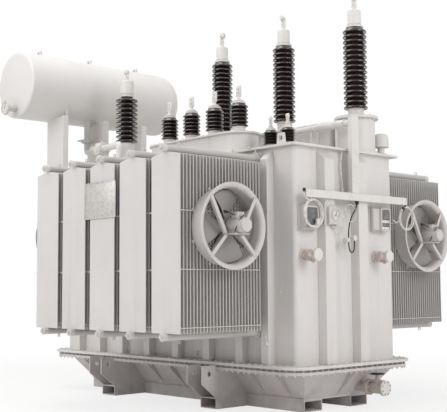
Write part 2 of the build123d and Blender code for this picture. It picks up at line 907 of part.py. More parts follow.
def gauge_boxes():
    x0 = tank_half_length
    pieces = []
    for box, x in ((near_box, x0), (middle_box, x0 + end_rib_depth), (far_box, x0)):
        case = block(x, x + box["depth"], box["y"][0], box["y"][1], box["z"][0], box["z"][1])
        pieces.append(case)
    return group(pieces)


def coil(x, y, z, radius):
    return Plane(origin=(x, y, z), x_dir=(0, 1, 0), z_dir=(1, 0, 0)) * Torus(radius, lead_radius)


def gauge_leads():
    """Coiled instrument leads that hang under the tray, beside the gauges."""
    x = tank_half_length + end_rib_depth + lead_radius + lead_gap
    pieces = []
    for y, radius in near_coil, far_coil:
        pieces.append(coil(x, y, tray_z[0] - radius - lead_radius - lead_gap, radius))
    return group(pieces)


def sampling_valves():
    """Two small valves on the end wall: wall flange, square body, drain stem and an eight-sided blank."""
    pieces = []
    radius = valve_flange_radius
    for y in valve_y:
        x0 = tank_half_length
        x1 = x0 + valve_reach
        pipe = rod((x0, y, valve_z), (x1, y, valve_z), valve_pipe_radius)
        wall = rod((x0, y, valve_z), (x0 + valve_flange, y, valve_z), radius)
        inner_x = x0 + valve_body_x[0] - valve_flange
        inner = rod((inner_x, y, valve_z), (inner_x + valve_flange, y, valve_z), radius)
        blank = Plane(origin=(x1 - valve_flange, y, valve_z), z_dir=(1, 0, 0))
        cap = extrude(blank * RegularPolygon(radius, 8, rotation=22.5), amount=valve_flange)
        half = valve_body_half
        start, end = valve_body_x
        body = block(x0 + start, x0 + end, y - half, y + half, valve_z - half, valve_z + half)
        stem_x = x0 + (start + end) / 2
        stem = bar_z(stem_x, y, valve_z - 2 * half, valve_z, valve_stem_radius)
        pieces.append(pipe + [wall, inner, cap, body, stem])
    return group(pieces)


def cover_conduit():
    x1 = tank_half_length + end_rib_depth
    pipe = rod((conduit_start_x, conduit_y, conduit_z), (x1, conduit_y, conduit_z), conduit_radius)
    start, end = conduit_sleeve_x
    sleeve = rod((start, conduit_y, conduit_z), (end, conduit_y, conduit_z), conduit_sleeve_radius)
    posts = [bar_z(x, conduit_y, cover_top_z, conduit_z, conduit_radius / 2) for x in conduit_post_x]
    return pipe + [sleeve] + posts


def lifting_lugs():
    half = lug_thickness / 2
    top = cover_top_z + lug_height
    outline = [
        (lug_x - lug_width / 2, cover_top_z), (lug_x + lug_width / 2, cover_top_z),
        (lug_x + lug_width / 3, top), (lug_x - lug_width / 3, top)
    ]
    plate = plate_xz(outline, -lug_y - half, -lug_y + half)
    z = top - 2 * lug_hole_radius
    hole = rod((lug_x, -lug_y - half - 1, z), (lug_x, -lug_y + half + 1, z), lug_hole_radius)
    return group(both_ends(both_sides([plate - hole])))


def relief_valve():
    """Pressure relief valve: a flanged neck under a domed cover."""
    z0 = cover_top_z
    skirt_z = z0 + relief_skirt
    top_z = z0 + relief_height
    radius = relief_radius
    outline = [
        (0, z0), (relief_flange[0], z0), (relief_flange[0], z0 + relief_flange[1]),
        (relief_neck, z0 + relief_flange[1]), (relief_neck, skirt_z), (radius, skirt_z),
        (radius, top_z - 0.6 * radius), (radius * 0.8, top_z - 0.2 * radius),
        (radius * 0.4, top_z), (0, top_z)
    ]
    return Pos(relief_x, relief_y, 0) * turned(outline)


def drain_valve(hull):
    """Outlet pipe with two flange pairs, the valve body with bonnet and stem, and a blank."""
    y, z = drain_y, drain_z
    gap = drain_joint_gap
    pipe = rod((skid_half_length, y, z), (drain_face_x - drain_flange / 2, y, z), drain_pipe_radius) - hull
    outlet_x = drain_face_x - 2 * drain_flange
    spans = [
        (drain_inlet_x, drain_inlet_x + drain_flange - gap),
        (drain_inlet_x + drain_flange, drain_inlet_x + 2 * drain_flange),
        (outlet_x, outlet_x + drain_flange - gap),
        (drain_face_x - drain_flange, drain_face_x),
    ]
    flanges = [rod((x0, y, z), (x1, y, z), drain_flange_radius) for x0, x1 in spans]
    body = rod((stem_x - drain_body_half, y, z), (stem_x + drain_body_half, y, z), drain_body_radius)
    bonnet = bar_z(stem_x, y, z, bonnet_top_z, bonnet_radius)
    stem = bar_z(stem_x, y, z, wheel_z + wheel_hub_height / 2, stem_radius)
    return pipe + flanges + [body, bonnet, stem]


def drain_handwheel():
    rim = Torus(wheel_radius, wheel_rim)
    half = wheel_hub_height / 2
    hub = Pos(0, 0, -half) * extrude(Circle(wheel_hub_radius), amount=wheel_hub_height)
    pieces = [hub]
    half_spoke = wheel_spoke_width / 2
    for i in range(wheel_spokes):
        inner = wheel_hub_radius - wheel_rim
        spoke = block(inner, wheel_radius, -half_spoke, half_spoke, -wheel_rim / 2, wheel_rim / 2)
        pieces.append(Rot(0, 0, i * 360 / wheel_spokes) * spoke)
    bore = Pos(0, 0, -half - 1) * extrude(Circle(stem_radius + stem_clearance), amount=wheel_hub_height + 2)
    return Pos(stem_x, drain_y, wheel_z) * (rim + pieces - bore)


nodes = {}


def add(name, shape):
    nodes[name] = shape


hull = lower_tank()
add("base_skids", skids())
add("cross_beams", cross_beams())
add("lower_tank", hull)
add("haul_plates", haul_plates(hull))
add("base_gussets", base_gussets(hull))
add("tank", tank())
add("tank_ribs", tank_ribs())
add("tank_cover", tank_cover())
add("hv_box", hv_box())
add("hv_turret", hv_turret())
add("lv_box", lv_box())
for name, (x, y) in zip("cba", hv_places()):
    add("hv_insulator_" + name, insulator(x, y, hv_porcelain))
add("hv_bushing_metal", hv_bushing_metal())
add("neutral_insulator", insulator(neutral_x, neutral_y, neutral_porcelain))
add("neutral_metal", neutral_metal())
add("lv_insulators", group([insulator(x, y, lv_porcelain) for x, y in lv_places()]))
add("lv_bushing_metal", lv_bushing_metal())
add("aux_insulators", group([insulator(x, lv_y, aux_porcelain) for x in aux_x]))
add("aux_bushing_metal", aux_bushing_metal())

unit = radiator()
for i, x in enumerate(radiator_x):
    far = Pos(x, 0, 0) * unit
    add("far_radiator_" + str(i + 1), far)
    add("near_radiator_" + str(i + 1), mirror(far, about=Plane.XZ))

ring = fan_ring()
rotor = fan_rotor()
motor = fan_motor()
places = fan_places()
for i, place in enumerate(places):
    add("fan_ring_" + str(i + 1), place * ring)
    add("fan_rotor_" + str(i + 1), place * rotor)
add("fan_motors", group([place * motor for place in places]))

add("conservator_shell", drum_shell())
add("conservator_ends", drum_ends())
add("conservator_columns", drum_columns())
add("conservator_beams", drum_beams())
add("conservator_braces", drum_braces())

add("relay_pipe", relay_pipe())
add("drum_fittings", drum_fittings())
add("level_gauge", level_gauge())
add("cable_tray", cable_tray())
add("cable_riser", cable_riser())
add("gauge_boxes", gauge_boxes())
add("gauge_leads", gauge_leads())
add("sampling_valves", sampling_valves())
add("cover_conduit", cover_conduit())
add("lifting_lugs", lifting_lugs())
add("relief_valve", relief_valve())
add("drain_valve", drain_valve(hull))
add("drain_handwheel", drain_handwheel())

# The footprint runs from the back of the drum to the face of the drain valve
footprint_shift = -(drum_x - drum_radius + drain_face_x) / 2
os.makedirs("parts", exist_ok=True)
for name, shape in nodes.items():
    export_step(Pos(footprint_shift, 0, 0) * shape, "parts/" + name + ".step")
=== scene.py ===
# %% [markdown]
# This notebook dresses the CAD model of an oil-filled power transformer for a studio picture. The CAD
# nodes stay where they are. They get real finishes, and the small things that a drawing leaves out are
# modelled here.

# %% Load the CAD model
import math
import bmesh
import bpy
from mathutils import Matrix, Vector


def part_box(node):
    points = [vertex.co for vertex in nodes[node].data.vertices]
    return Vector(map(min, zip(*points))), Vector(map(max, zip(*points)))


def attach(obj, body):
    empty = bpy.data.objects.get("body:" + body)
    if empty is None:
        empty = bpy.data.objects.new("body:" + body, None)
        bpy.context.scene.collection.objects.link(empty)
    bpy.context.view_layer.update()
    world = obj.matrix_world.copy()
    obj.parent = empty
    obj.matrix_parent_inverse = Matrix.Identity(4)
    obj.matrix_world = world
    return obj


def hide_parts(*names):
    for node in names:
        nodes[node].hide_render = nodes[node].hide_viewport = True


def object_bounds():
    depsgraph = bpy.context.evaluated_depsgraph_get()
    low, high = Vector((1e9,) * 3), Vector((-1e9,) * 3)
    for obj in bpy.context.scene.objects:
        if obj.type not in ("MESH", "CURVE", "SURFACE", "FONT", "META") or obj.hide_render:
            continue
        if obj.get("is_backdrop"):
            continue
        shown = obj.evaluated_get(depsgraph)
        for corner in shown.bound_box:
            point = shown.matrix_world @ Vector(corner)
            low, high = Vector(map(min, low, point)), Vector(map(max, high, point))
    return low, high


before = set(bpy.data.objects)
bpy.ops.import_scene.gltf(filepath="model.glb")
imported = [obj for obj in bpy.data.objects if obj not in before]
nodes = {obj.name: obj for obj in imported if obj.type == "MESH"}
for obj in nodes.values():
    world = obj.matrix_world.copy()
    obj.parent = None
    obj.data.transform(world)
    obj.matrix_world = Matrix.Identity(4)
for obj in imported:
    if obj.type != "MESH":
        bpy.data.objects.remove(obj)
cad_low, cad_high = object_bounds()
bpy.ops.object.select_all(action="DESELECT")
print(len(nodes), "CAD nodes, box", [round(v, 3) for v in (*cad_low, *cad_high)])

# %% [markdown]
# Blender works in metres. Drawings give steel sizes in millimetres, so a short helper turns one into the
# other. The tank's own box gives its middle line, and all other places are measured from there.

# %% Where things are
def mm(value):
    return value / 1000


tank_low, tank_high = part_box("tank")
middle_x = (tank_high.x + tank_low.x) / 2
outer_fin = mm(2492)
print("tank middle", round(middle_x, 3))


# %% [markdown]
# A finish is a small network of shader nodes. Written out node by node it is hard to read,
# so a socket is wrapped in a class, and plain arithmetic on it adds the Math nodes.

# %% Shader arithmetic
class Signal:
    """One output socket of a shader node, with arithmetic."""

    def __init__(self, finish, socket):
        self.finish, self.socket = finish, socket

    def __add__(self, other):
        return self.finish.maths("ADD", self, other)

    def __sub__(self, other):
        return self.finish.maths("SUBTRACT", self, other)

    def __rsub__(self, other):
        return self.finish.maths("SUBTRACT", other, self)

    def __mul__(self, other):
        return self.finish.maths("MULTIPLY", self, other)

    __radd__ = __add__
    __rmul__ = __mul__


class Finish:
    """A material in the making, or another node tree. add() puts in a node and gives one of its outputs."""

    def __init__(self, name, tree=None):
        self.tree = tree
        if tree:
            return
        self.material = bpy.data.materials.new(name)
        self.material.use_nodes = True
        self.tree = self.material.node_tree
        self.shader = self.tree.nodes["Principled BSDF"]
        self.place = self.add("TexCoord", output="Object")

    def add(self, kind, settings=None, inputs=None, output=0):
        node = self.tree.nodes.new("ShaderNode" + kind)
        for key, value in (settings or {}).items():
            setattr(node, key, value)
        for key, value in (inputs or {}).items():
            self.feed(node.inputs[key], value)
        return Signal(self, node.outputs[output])

    def feed(self, socket, value):
        if isinstance(value, Signal):
            self.tree.links.new(value.socket, socket)
        else:
            socket.default_value = value

    def maths(self, operation, first, second):
        return self.add("Math", {"operation": operation}, {0: first, 1: second})

    def clamp(self, value):
        return self.add("Clamp", None, {"Value": value})

    def noise(self, scale, detail=3.0, rough=0.5, at=None):
        inputs = {"Vector": at or self.place, "Scale": scale, "Detail": detail, "Roughness": rough}
        return self.add("TexNoise", None, inputs)

    def stretched(self, x, y, z):
        return self.add("Mapping", None, {"Vector": self.place, "Scale": (x, y, z)})

    def between(self, value, low, high):
        """0 below low, 1 above high, and a smooth rise between them."""
        settings = {"interpolation_type": "SMOOTHSTEP"}
        return self.add("MapRange", settings, {"Value": value, "From Min": low, "From Max": high})

    def mix(self, amount, first, second):
        """A colour between two colours, or between a colour and another mix."""
        inputs = {0: amount, 6: colour(first), 7: colour(second)}
        return self.add("Mix", {"data_type": "RGBA"}, inputs, output=2)

    def bump(self, height, strength, distance):
        inputs = {"Height": height, "Strength": strength, "Distance": distance}
        return self.add("Bump", None, inputs)

    def set(self, **values):
        """Feeds the shader: base_color=..., roughness=... and so on."""
        for key, value in values.items():
            socket = self.shader.inputs[key.replace("_", " ").title()]
            self.feed(socket, colour(value) if key == "base_color" else value)
        return self


def colour(value):
    """A web-style colour code such as 'd8d4d0' as linear light, or a signal as it is."""
    if isinstance(value, Signal):
        return value
    levels = [int(value[i:i + 2], 16) / 255 for i in (0, 2, 4)]
    linear = [v / 12.92 if v < 0.04045 else ((v + 0.055) / 1.055) ** 2.4 for v in levels]
    return (*linear, 1.0)


# %% [markdown]
# Transformer paint is a thick satin coat in a warm light grey. It is never one even colour:
# broad patches differ a little, rain leaves faint upright streaks, and dust settles on what faces up.
# The fine skin of sprayed paint is a shallow bump, and it also varies the gloss. On the radiators,
# the fin faces set back from the outer plate take a darker colour: that is painted shade in the slots between
# the fins.

# %% Paint
def paint(name, clean, dusty, dust=0.5, gloss=0.42, ground=0.0, streaky=0.2, inner=None):
    f = Finish(name)
    patches = f.between(f.noise(0.9, 4.0, 0.6), 0.35, 0.7)
    streaks = f.between(f.noise(1.0, 4.0, 0.55, f.stretched(9, 9, 0.45)), 0.5, 0.78)
    up = f.add("SeparateXYZ", None, {0: f.add("NewGeometry", output="Normal")}, output=2)
    settled = f.between(up, 0.45, 0.95) * f.between(f.noise(5.0, 5.0, 0.65), 0.3, 0.75)
    height = f.add("SeparateXYZ", None, {0: f.place}, output=2)
    splashed = (1 - f.between(height, 0.02, 0.62)) * f.between(f.noise(3.5, 5.0, 0.7), 0.25, 0.7)
    dirt = f.clamp(patches * 0.14 + streaks * streaky + settled * dust + splashed * ground)
    # Painted shade: faces set back from the outer plate take the darker inner colour, which stands in for the
    # shade in the slots between the fins.
    if inner:
        depth = f.maths("ABSOLUTE", f.add("SeparateXYZ", None, {0: f.place}, output=1), 0)
        clean = f.mix(f.between(depth, outer_fin - mm(6), outer_fin - mm(1)), inner, clean)
    f.set(base_color=f.mix(dirt, clean, dusty))
    speckle = f.noise(38.0, 3.0)
    f.set(roughness=f.clamp(gloss + speckle * 0.12 + dirt * 0.3))
    skin = f.noise(240.0, 2.0) + f.noise(11.0, 2.0) * 2.2
    f.set(normal=f.bump(skin, 0.12, 0.0016))
    return f.material


tank_paint = paint("tank_paint", "d6d3d1", "aca6a0", 0.3)
drum_paint = paint("drum_paint", "dad8d6", "b4aea8", 0.2, 0.36, streaky=0.0)
# Radiator paint. Its inner colour is painted shade in the slots between the fins.
fin_paint_with_painted_shade = paint("fin_paint_with_painted_shade", "d0cecd", "a8a39e", 0.25, 0.45, inner="bfbdba")
# Fan paint, a little darker than the tank paint: painted shade for the shadow on the fan rings.
fan_paint = paint("fan_paint", "cac6c4", "9d9691", 0.35, 0.42)
# Blade paint, dark as painted shade for the inside of the fan rings.
blade_paint = paint("blade_paint", "8f8c8a", "85807c", 0.35, 0.36)
base_paint = paint("base_paint", "cdc8c8", "958d88", 0.4, 0.5, 0.45)
duct_paint = paint("duct_paint", "d8d6d3", "b3ada7", 0.3, 0.38)
valve_paint = paint("valve_paint", "b5aaa2", "84786e", 0.4, 0.45)
case_paint = paint("case_paint", "c9c5c3", "9b948e", 0.3, 0.4)


# %% [markdown]
# Porcelain is glazed dark brown. The glaze pools a little, so its colour drifts, and it is the glossiest
# thing here. Bare metal, rubber and the glass of the dials follow, each with its own stains and wear.

# %% Porcelain, bare metal, rubber and glass
def porcelain():
    f = Finish("porcelain")
    pooled = f.between(f.noise(6.0, 4.0, 0.6), 0.3, 0.7)
    dust = f.between(f.noise(16.0, 5.0, 0.7), 0.52, 0.85) * 0.22
    glaze = f.mix(pooled, "1c1413", "2e2120")
    f.set(base_color=f.mix(dust, glaze, "6d625d"), roughness=f.clamp(dust * 1.2 + 0.14))
    f.set(normal=f.bump(f.noise(30.0, 2.0), 0.1, 0.002), coat_weight=0.35)
    return f.material


def metal(name, light, dark, rough, metallic=1.0, grain=(60, 60, 60)):
    f = Finish(name)
    stain = f.between(f.noise(24.0, 5.0, 0.65), 0.35, 0.75)
    brushed = f.noise(3.0, 3.0, 0.6, f.stretched(*grain))
    f.set(base_color=f.mix(stain, light, dark), metallic=metallic)
    f.set(roughness=f.clamp(brushed * 0.22 + stain * 0.18 + rough))
    f.set(normal=f.bump(brushed, 0.15, 0.0006))
    return f.material


def rubber(name, clean, worn, rough=0.6):
    f = Finish(name)
    rubbed = f.between(f.noise(22.0, 4.0, 0.6), 0.4, 0.75)
    f.set(base_color=f.mix(rubbed, clean, worn), roughness=f.clamp(rubbed * 0.15 + rough))
    f.set(normal=f.bump(f.noise(160.0, 2.0), 0.2, 0.0008))
    return f.material


def dial_glass():
    f = Finish("dial_glass")
    smear = f.between(f.noise(14.0, 4.0, 0.6), 0.45, 0.8)
    f.set(base_color=f.mix(smear, "5b5c5c", "8d8c89"), roughness=f.clamp(smear * 0.2 + 0.06), coat_weight=0.6)
    return f.material


porcelain_glaze = porcelain()
plate_steel = metal("plate_steel", "c9c6c2", "b2ada7", 0.3, 0.75, (4, 4, 300))
gunmetal = metal("gunmetal", "6b6865", "4b4845", 0.35)
cast_tan = metal("cast_tan", "d8cdc7", "b0a29a", 0.45, 0.15)
black_rubber = rubber("black_rubber", "1b1b1c", "333231")
wheel_enamel = rubber("wheel_enamel", "161617", "2c2b2a", 0.3)
white_sheath = rubber("white_sheath", "dedbd7", "bcb6ae", 0.45)
glass = dial_glass()

# %% [markdown]
# The CAD nodes take their finishes here, one name at a time, so that none is left out.

# %% Finishes for the CAD nodes
finish_of = {
    "base_skids": base_paint, "cross_beams": base_paint, "haul_plates": base_paint,
    "base_gussets": base_paint, "lower_tank": base_paint, "hv_bushing_metal": duct_paint,
    "neutral_metal": duct_paint, "lv_bushing_metal": duct_paint, "aux_bushing_metal": duct_paint,
    "gauge_boxes": case_paint, "level_gauge": case_paint, "gauge_leads": white_sheath,
    "cable_tray": duct_paint, "cable_riser": duct_paint,
    "cover_conduit": duct_paint, "sampling_valves": cast_tan, "drain_valve": valve_paint,
    "drain_handwheel": wheel_enamel, "fan_motors": fan_paint, "drum_fittings": drum_paint,
}
by_word = {"insulator": porcelain_glaze, "radiator": fin_paint_with_painted_shade, "rotor": blade_paint, "ring": fan_paint}
by_word["conservator"] = drum_paint


def dress(piece, material):
    piece.data.materials.clear()
    piece.data.materials.append(material)


for name, node in nodes.items():
    word = [w for w in by_word if w in name]
    material = finish_of.get(name) or (by_word[word[0]] if word else tank_paint)
    dress(node, material)
print("finishes on", len(nodes), "nodes")

# %% [markdown]
# New pieces are placed as on the drawing: in millimetres, from the tank's middle line and the floor.
# A few tools are used again and again, so they are written once: pick one object, tidy its faces,
# set a copy at a place, join a group, and hand a finished piece over to the body that it rides on.
# Faces and edges are picked in edit mode by a test on their shape, as no mouse is there to click them.

# %% Bench tools
def at(x, y, z):
    return Vector((middle_x + mm(x), mm(y), mm(z)))


def pick(*pieces):
    bpy.ops.object.select_all(action="DESELECT")
    for piece in pieces:
        piece.select_set(True)
    bpy.context.view_layer.objects.active = pieces[0]
    return pieces[0]


def settle(piece):
    """Moves the object's place into its mesh."""
    pick(piece)
    bpy.ops.object.transform_apply(location=True, rotation=True, scale=True)
    return piece


def pose(place, towards=(0, 0, 1), spin=0):
    """A place whose Z axis points in a direction, turned about it by so many degrees."""
    turn = Vector(towards).to_track_quat("Z", "Y").to_matrix().to_4x4()
    return Matrix.Translation(place) @ turn @ Matrix.Rotation(math.radians(spin), 4, "Z")


def joined(pieces):
    pick(*pieces)
    if len(pieces) > 1:
        bpy.ops.object.join()
    return bpy.context.object


def copies(unit, poses):
    """The unit at every pose, each copy with its own mesh, joined in one object."""
    settle(unit)
    made = []
    for placed in poses:
        copy = bpy.data.objects.new(unit.name, unit.data.copy())
        copy.data.transform(placed)
        bpy.context.collection.objects.link(copy)
        made.append(copy)
    bpy.data.objects.remove(unit)
    return joined(made)


def modified(piece, kind, **settings):
    pick(piece)
    modifier = piece.modifiers.new(kind.title(), kind)
    for key, value in settings.items():
        setattr(modifier, key, value)
    bpy.ops.object.modifier_apply(modifier=modifier.name)
    return piece


def softened(piece, width, segments=2):
    """A narrow round on every sharp edge."""
    return modified(
        piece, "BEVEL", width=mm(width), segments=segments, limit_method="ANGLE",
        angle_limit=math.radians(40), use_clamp_overlap=True
    )


def choose(piece, mode, test):
    """Opens a piece in edit mode and selects the faces or edges that pass a test."""
    pick(piece)
    bpy.ops.object.mode_set(mode="EDIT")
    bpy.ops.mesh.select_mode(type=mode)
    bpy.ops.mesh.select_all(action="DESELECT")
    work = bmesh.from_edit_mesh(piece.data)
    for item in work.faces if mode == "FACE" else work.edges:
        item.select = test(item)
    bmesh.update_edit_mesh(piece.data)


def hand_over(piece, name, material, body="transformer", replaces=(), smooth=40):
    """Names a piece or a list of them, shades and paints it, and lets it ride on its body."""
    piece = settle(joined(piece) if isinstance(piece, list) else piece)
    piece.name = name
    piece.data.name = name
    bpy.ops.object.shade_smooth_by_angle(angle=math.radians(smooth))
    dress(piece, material)
    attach(piece, body)
    if replaces:
        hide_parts(*replaces)
    return piece


# %% [markdown]
# A lathe makes most of the round parts. One circle is drawn, then extruded and resized from point to point
# of the outline, as one would pull a pot up by hand. An outline that comes back to its start makes a hollow
# ring: its circle has no face, so only its edge is pulled.

# %% Lathe
def lathe(outline, sides=48):
    """A round body about Z through (radius, height) points in millimetres."""
    radius, height = outline[0]
    ring = outline[0] == outline[-1]
    fill = "NOTHING" if ring else "NGON"
    bpy.ops.object.select_all(action="DESELECT")
    bpy.ops.mesh.primitive_circle_add(vertices=sides, radius=mm(radius), fill_type=fill)
    piece = bpy.context.object
    bpy.ops.object.mode_set(mode="EDIT")
    bpy.ops.mesh.select_all(action="SELECT")
    bpy.ops.transform.translate(value=(0, 0, mm(height)))
    for (r0, z0), (r1, z1) in zip(outline, outline[1:]):
        move = {"value": (0, 0, mm(z1 - z0))}
        if ring:
            bpy.ops.mesh.extrude_edges_move(TRANSFORM_OT_translate=move)
        else:
            bpy.ops.mesh.extrude_region_move(TRANSFORM_OT_translate=move)
        bpy.ops.transform.resize(value=(r1 / r0, r1 / r0, 1), center_override=(0, 0, 0))
    bpy.ops.mesh.select_all(action="SELECT")
    bpy.ops.mesh.remove_doubles(threshold=0.00002)
    bpy.ops.mesh.normals_make_consistent(inside=False)
    bpy.ops.object.mode_set(mode="OBJECT")
    return piece


def turned_at(place, outline, sides=48, towards=(0, 0, 1), spin=0):
    """A lathe piece with its foot at a place and its axis along a direction."""
    piece = lathe(outline, sides)
    piece.data.transform(pose(place, towards, spin))
    return piece


# %% [markdown]
# Straight steel is cut from a box: it is drawn at its size, and its edges get a small round,
# because a real plate's edge always catches a line of light.

# %% Plates
def plate(x0, x1, y0, y1, z0, z1, edge=2.0, segments=2):
    """A block between drawing planes, with rounded edges."""
    size = Vector((mm(x1 - x0), mm(y1 - y0), mm(z1 - z0)))
    bpy.ops.object.select_all(action="DESELECT")
    bpy.ops.mesh.primitive_cube_add(size=1, location=at((x0 + x1) / 2, (y0 + y1) / 2, (z0 + z1) / 2))
    piece = bpy.context.object
    piece.scale = size
    settle(piece)
    return softened(piece, edge, segments) if edge else piece


def bar(start, end, radius, sides=12, dome=0.3):
    """A round bar between two places in metres, with slightly domed ends."""
    length = (end - start).length * 1000
    lift = min(radius * dome, length / 4)
    outline = [(radius * 0.7, 0), (radius, lift), (radius, length - lift), (radius * 0.7, length)]
    return turned_at(start, outline, sides, end - start)


def bolt(width, thread=0.0, sides=6):
    """A hexagon head with a crowned top on its washer; the seat is at Z = 0. Sizes in millimetres."""
    washer = lathe([(width * 0.98, 0), (width * 0.98, width * 0.16), (width * 0.7, width * 0.2)], 12)
    low, high = width * 0.16, width * 0.86
    head = lathe([(width * 0.8, low), (width * 0.8, high - width * 0.1), (width * 0.62, high)], sides)
    parts = [washer, head]
    if thread:
        end = high + thread
        parts.append(lathe([(width * 0.42, high), (width * 0.42, end), (width * 0.3, end)], 8))
    return joined(parts)


def tube(points, radius, sides=8):
    """A bent tube along a NURBS line through a few given control points, in drawing millimetres."""
    line = bpy.data.curves.new("tube", "CURVE")
    line.dimensions = "3D"
    line.bevel_depth = mm(radius)
    line.bevel_resolution = sides // 4
    line.use_fill_caps = True
    spline = line.splines.new("NURBS")
    spline.points.add(len(points) - 1)
    for point, place in zip(spline.points, points):
        point.co = (*at(*place), 1)
    spline.order_u = 3
    spline.use_endpoint_u = True
    spline.resolution_u = 6
    made = bpy.data.objects.new("tube", line)
    bpy.context.collection.objects.link(made)
    pick(made)
    bpy.ops.object.convert(target="MESH")
    return bpy.context.object


# %% [markdown]
# The CAD nodes' own meshes are loose triangles with knife-sharp edges.
# For the flat steelwork a copy is enough: its points are merged, its flat faces are made whole again,
# and its edges are rounded a little. The copy then stands in for the node.

# %% Rounded steelwork
def refined(name, new_name, width):
    """A copy of a CAD node with whole faces and rounded edges, which replaces the node."""
    source = nodes[name]
    piece = bpy.data.objects.new(new_name, source.data.copy())
    bpy.context.collection.objects.link(piece)
    pick(piece)
    bpy.ops.object.mode_set(mode="EDIT")
    bpy.ops.mesh.select_all(action="SELECT")
    bpy.ops.mesh.customdata_custom_splitnormals_clear()
    bpy.ops.mesh.remove_doubles(threshold=0.00005)
    bpy.ops.mesh.dissolve_limited(angle_limit=math.radians(0.6))
    bpy.ops.object.mode_set(mode="OBJECT")
    softened(piece, width)
    hand_over(piece, new_name, source.data.materials[0], replaces=[name], smooth=48)
    return modified(piece, "WEIGHTED_NORMAL", keep_sharp=True)


steelwork = {
    "base_skids": ("skid_frame", "base_paint", 4.0), "cross_beams": ("cross_beam_boxes", "base_paint", 4.0),
    "haul_plates": ("haul_brackets", "base_paint", 3.0), "base_gussets": ("under_gussets", "base_paint", 2.0),
    "lower_tank": ("lower_tank_shell", "base_paint", 5.0), "tank": ("tank_shell", "tank_paint", 4.0),
    "tank_ribs": ("tank_stiffeners", "tank_paint", 7.0), "tank_cover": ("cover_plate", "tank_paint", 3.0),
    "hv_box": ("hv_turret_box", "tank_paint", 4.0), "lifting_lugs": ("cover_lugs", "tank_paint", 3.0),
    "conservator_columns": ("drum_columns", "drum_paint", 2.5),
    "conservator_beams": ("drum_beams", "drum_paint", 3.0),
    "conservator_braces": ("drum_braces", "drum_paint", 3.0),
    "cable_tray": ("wiring_tray", "duct_paint", 6.0), "cable_riser": ("wiring_riser", "duct_paint", 6.0),
}
for node_name, (new_name, slot_name, width) in steelwork.items():
    made = refined(node_name, new_name, width)
    print(new_name, len(made.data.polygons), "faces")

# %% [markdown]
# A bushing leads one phase out through the cover. Its porcelain carries sheds that keep rain off the
# core: each droops a little, and its rim is thin and round. One shed is drawn on the lathe, its two flat
# end faces are deleted, an array stacks it, and the whole porcelain is then copied to its places.

# %% Porcelain
def porcelain_body(bottom, top, core, shed, count):
    """A stack of drooping sheds round a core, sizes in millimetres."""
    pitch = (top - bottom) / count
    reach = shed - core
    profile = [
        (core, 0), (core * 1.01, 0.2), (core + reach * 0.5, 0.12), (shed - 6, 0.02), (shed - 1, 0.08),
        (shed, 0.2), (shed - 4, 0.32), (core + reach * 0.5, 0.55), (core + reach * 0.16, 0.74), (core, 0.9),
        (core, 1)
    ]
    body = lathe([(radius, bottom + pitch * share) for radius, share in profile], 56)
    choose(body, "FACE", lambda face: len(face.verts) > 4)
    bpy.ops.mesh.delete(type="FACE")
    bpy.ops.object.mode_set(mode="OBJECT")
    modified(
        body, "ARRAY", count=count, use_relative_offset=False, use_constant_offset=True,
        constant_offset_displace=(0, 0, mm(pitch)), use_merge_vertices=True, merge_threshold=0.0001
    )
    bpy.ops.object.mode_set(mode="EDIT")
    bpy.ops.mesh.select_all(action="SELECT")
    bpy.ops.mesh.fill_holes(sides=0)
    bpy.ops.mesh.normals_make_consistent(inside=False)
    bpy.ops.object.mode_set(mode="OBJECT")
    return body


hv_places = {"c": (2250, 500), "b": (920, 500), "a": (-410, 500)}
lv_places = [(965 - 500 * i, -450) for i in range(4)]
aux_places = [(1580, -450), (1890, -450)]
neutral_place = (-2000, -160)
stacks = [
    ("hv_porcelain_" + phase, "hv_insulator_" + phase, (3920, 5025, 118, 162, 16), [place])
    for phase, place in hv_places.items()
]
stacks += [
    ("neutral_porcelain", "neutral_insulator", (3900, 4640, 98, 180, 10), [neutral_place]),
    ("lv_porcelain", "lv_insulators", (3745, 4060, 94, 128, 6), lv_places),
    ("aux_porcelain", "aux_insulators", (3420, 3605, 72, 100, 5), aux_places),
]
for new_name, node_name, sizes, places in stacks:
    body = copies(porcelain_body(*sizes), [pose(at(x, y, 0)) for x, y in places])
    hand_over(body, new_name, porcelain_glaze, replaces=[node_name])
    print(new_name, len(body.data.polygons), "faces")

# %% [markdown]
# Each porcelain is held between metal ends: a bolted base flange below, and above it a cap with the
# terminal. The outline of each is stepped and rounded as castings are. Small hexagon bolts go round the
# flanges.

# %% Bushing ends
def circle_of(count, radius, first=0.5):
    """Evenly spaced points on a circle, as pairs."""
    angles = [2 * math.pi * (i + first) / count for i in range(count)]
    return [(radius * math.cos(a), radius * math.sin(a)) for a in angles]


def bolts_round(x, y, z, radius, count, towards=(0, 0, 1)):
    """Poses of bolts on a circle that lies flat."""
    return [pose(at(x + u, y + v, z), towards) for u, v in circle_of(count, radius)]


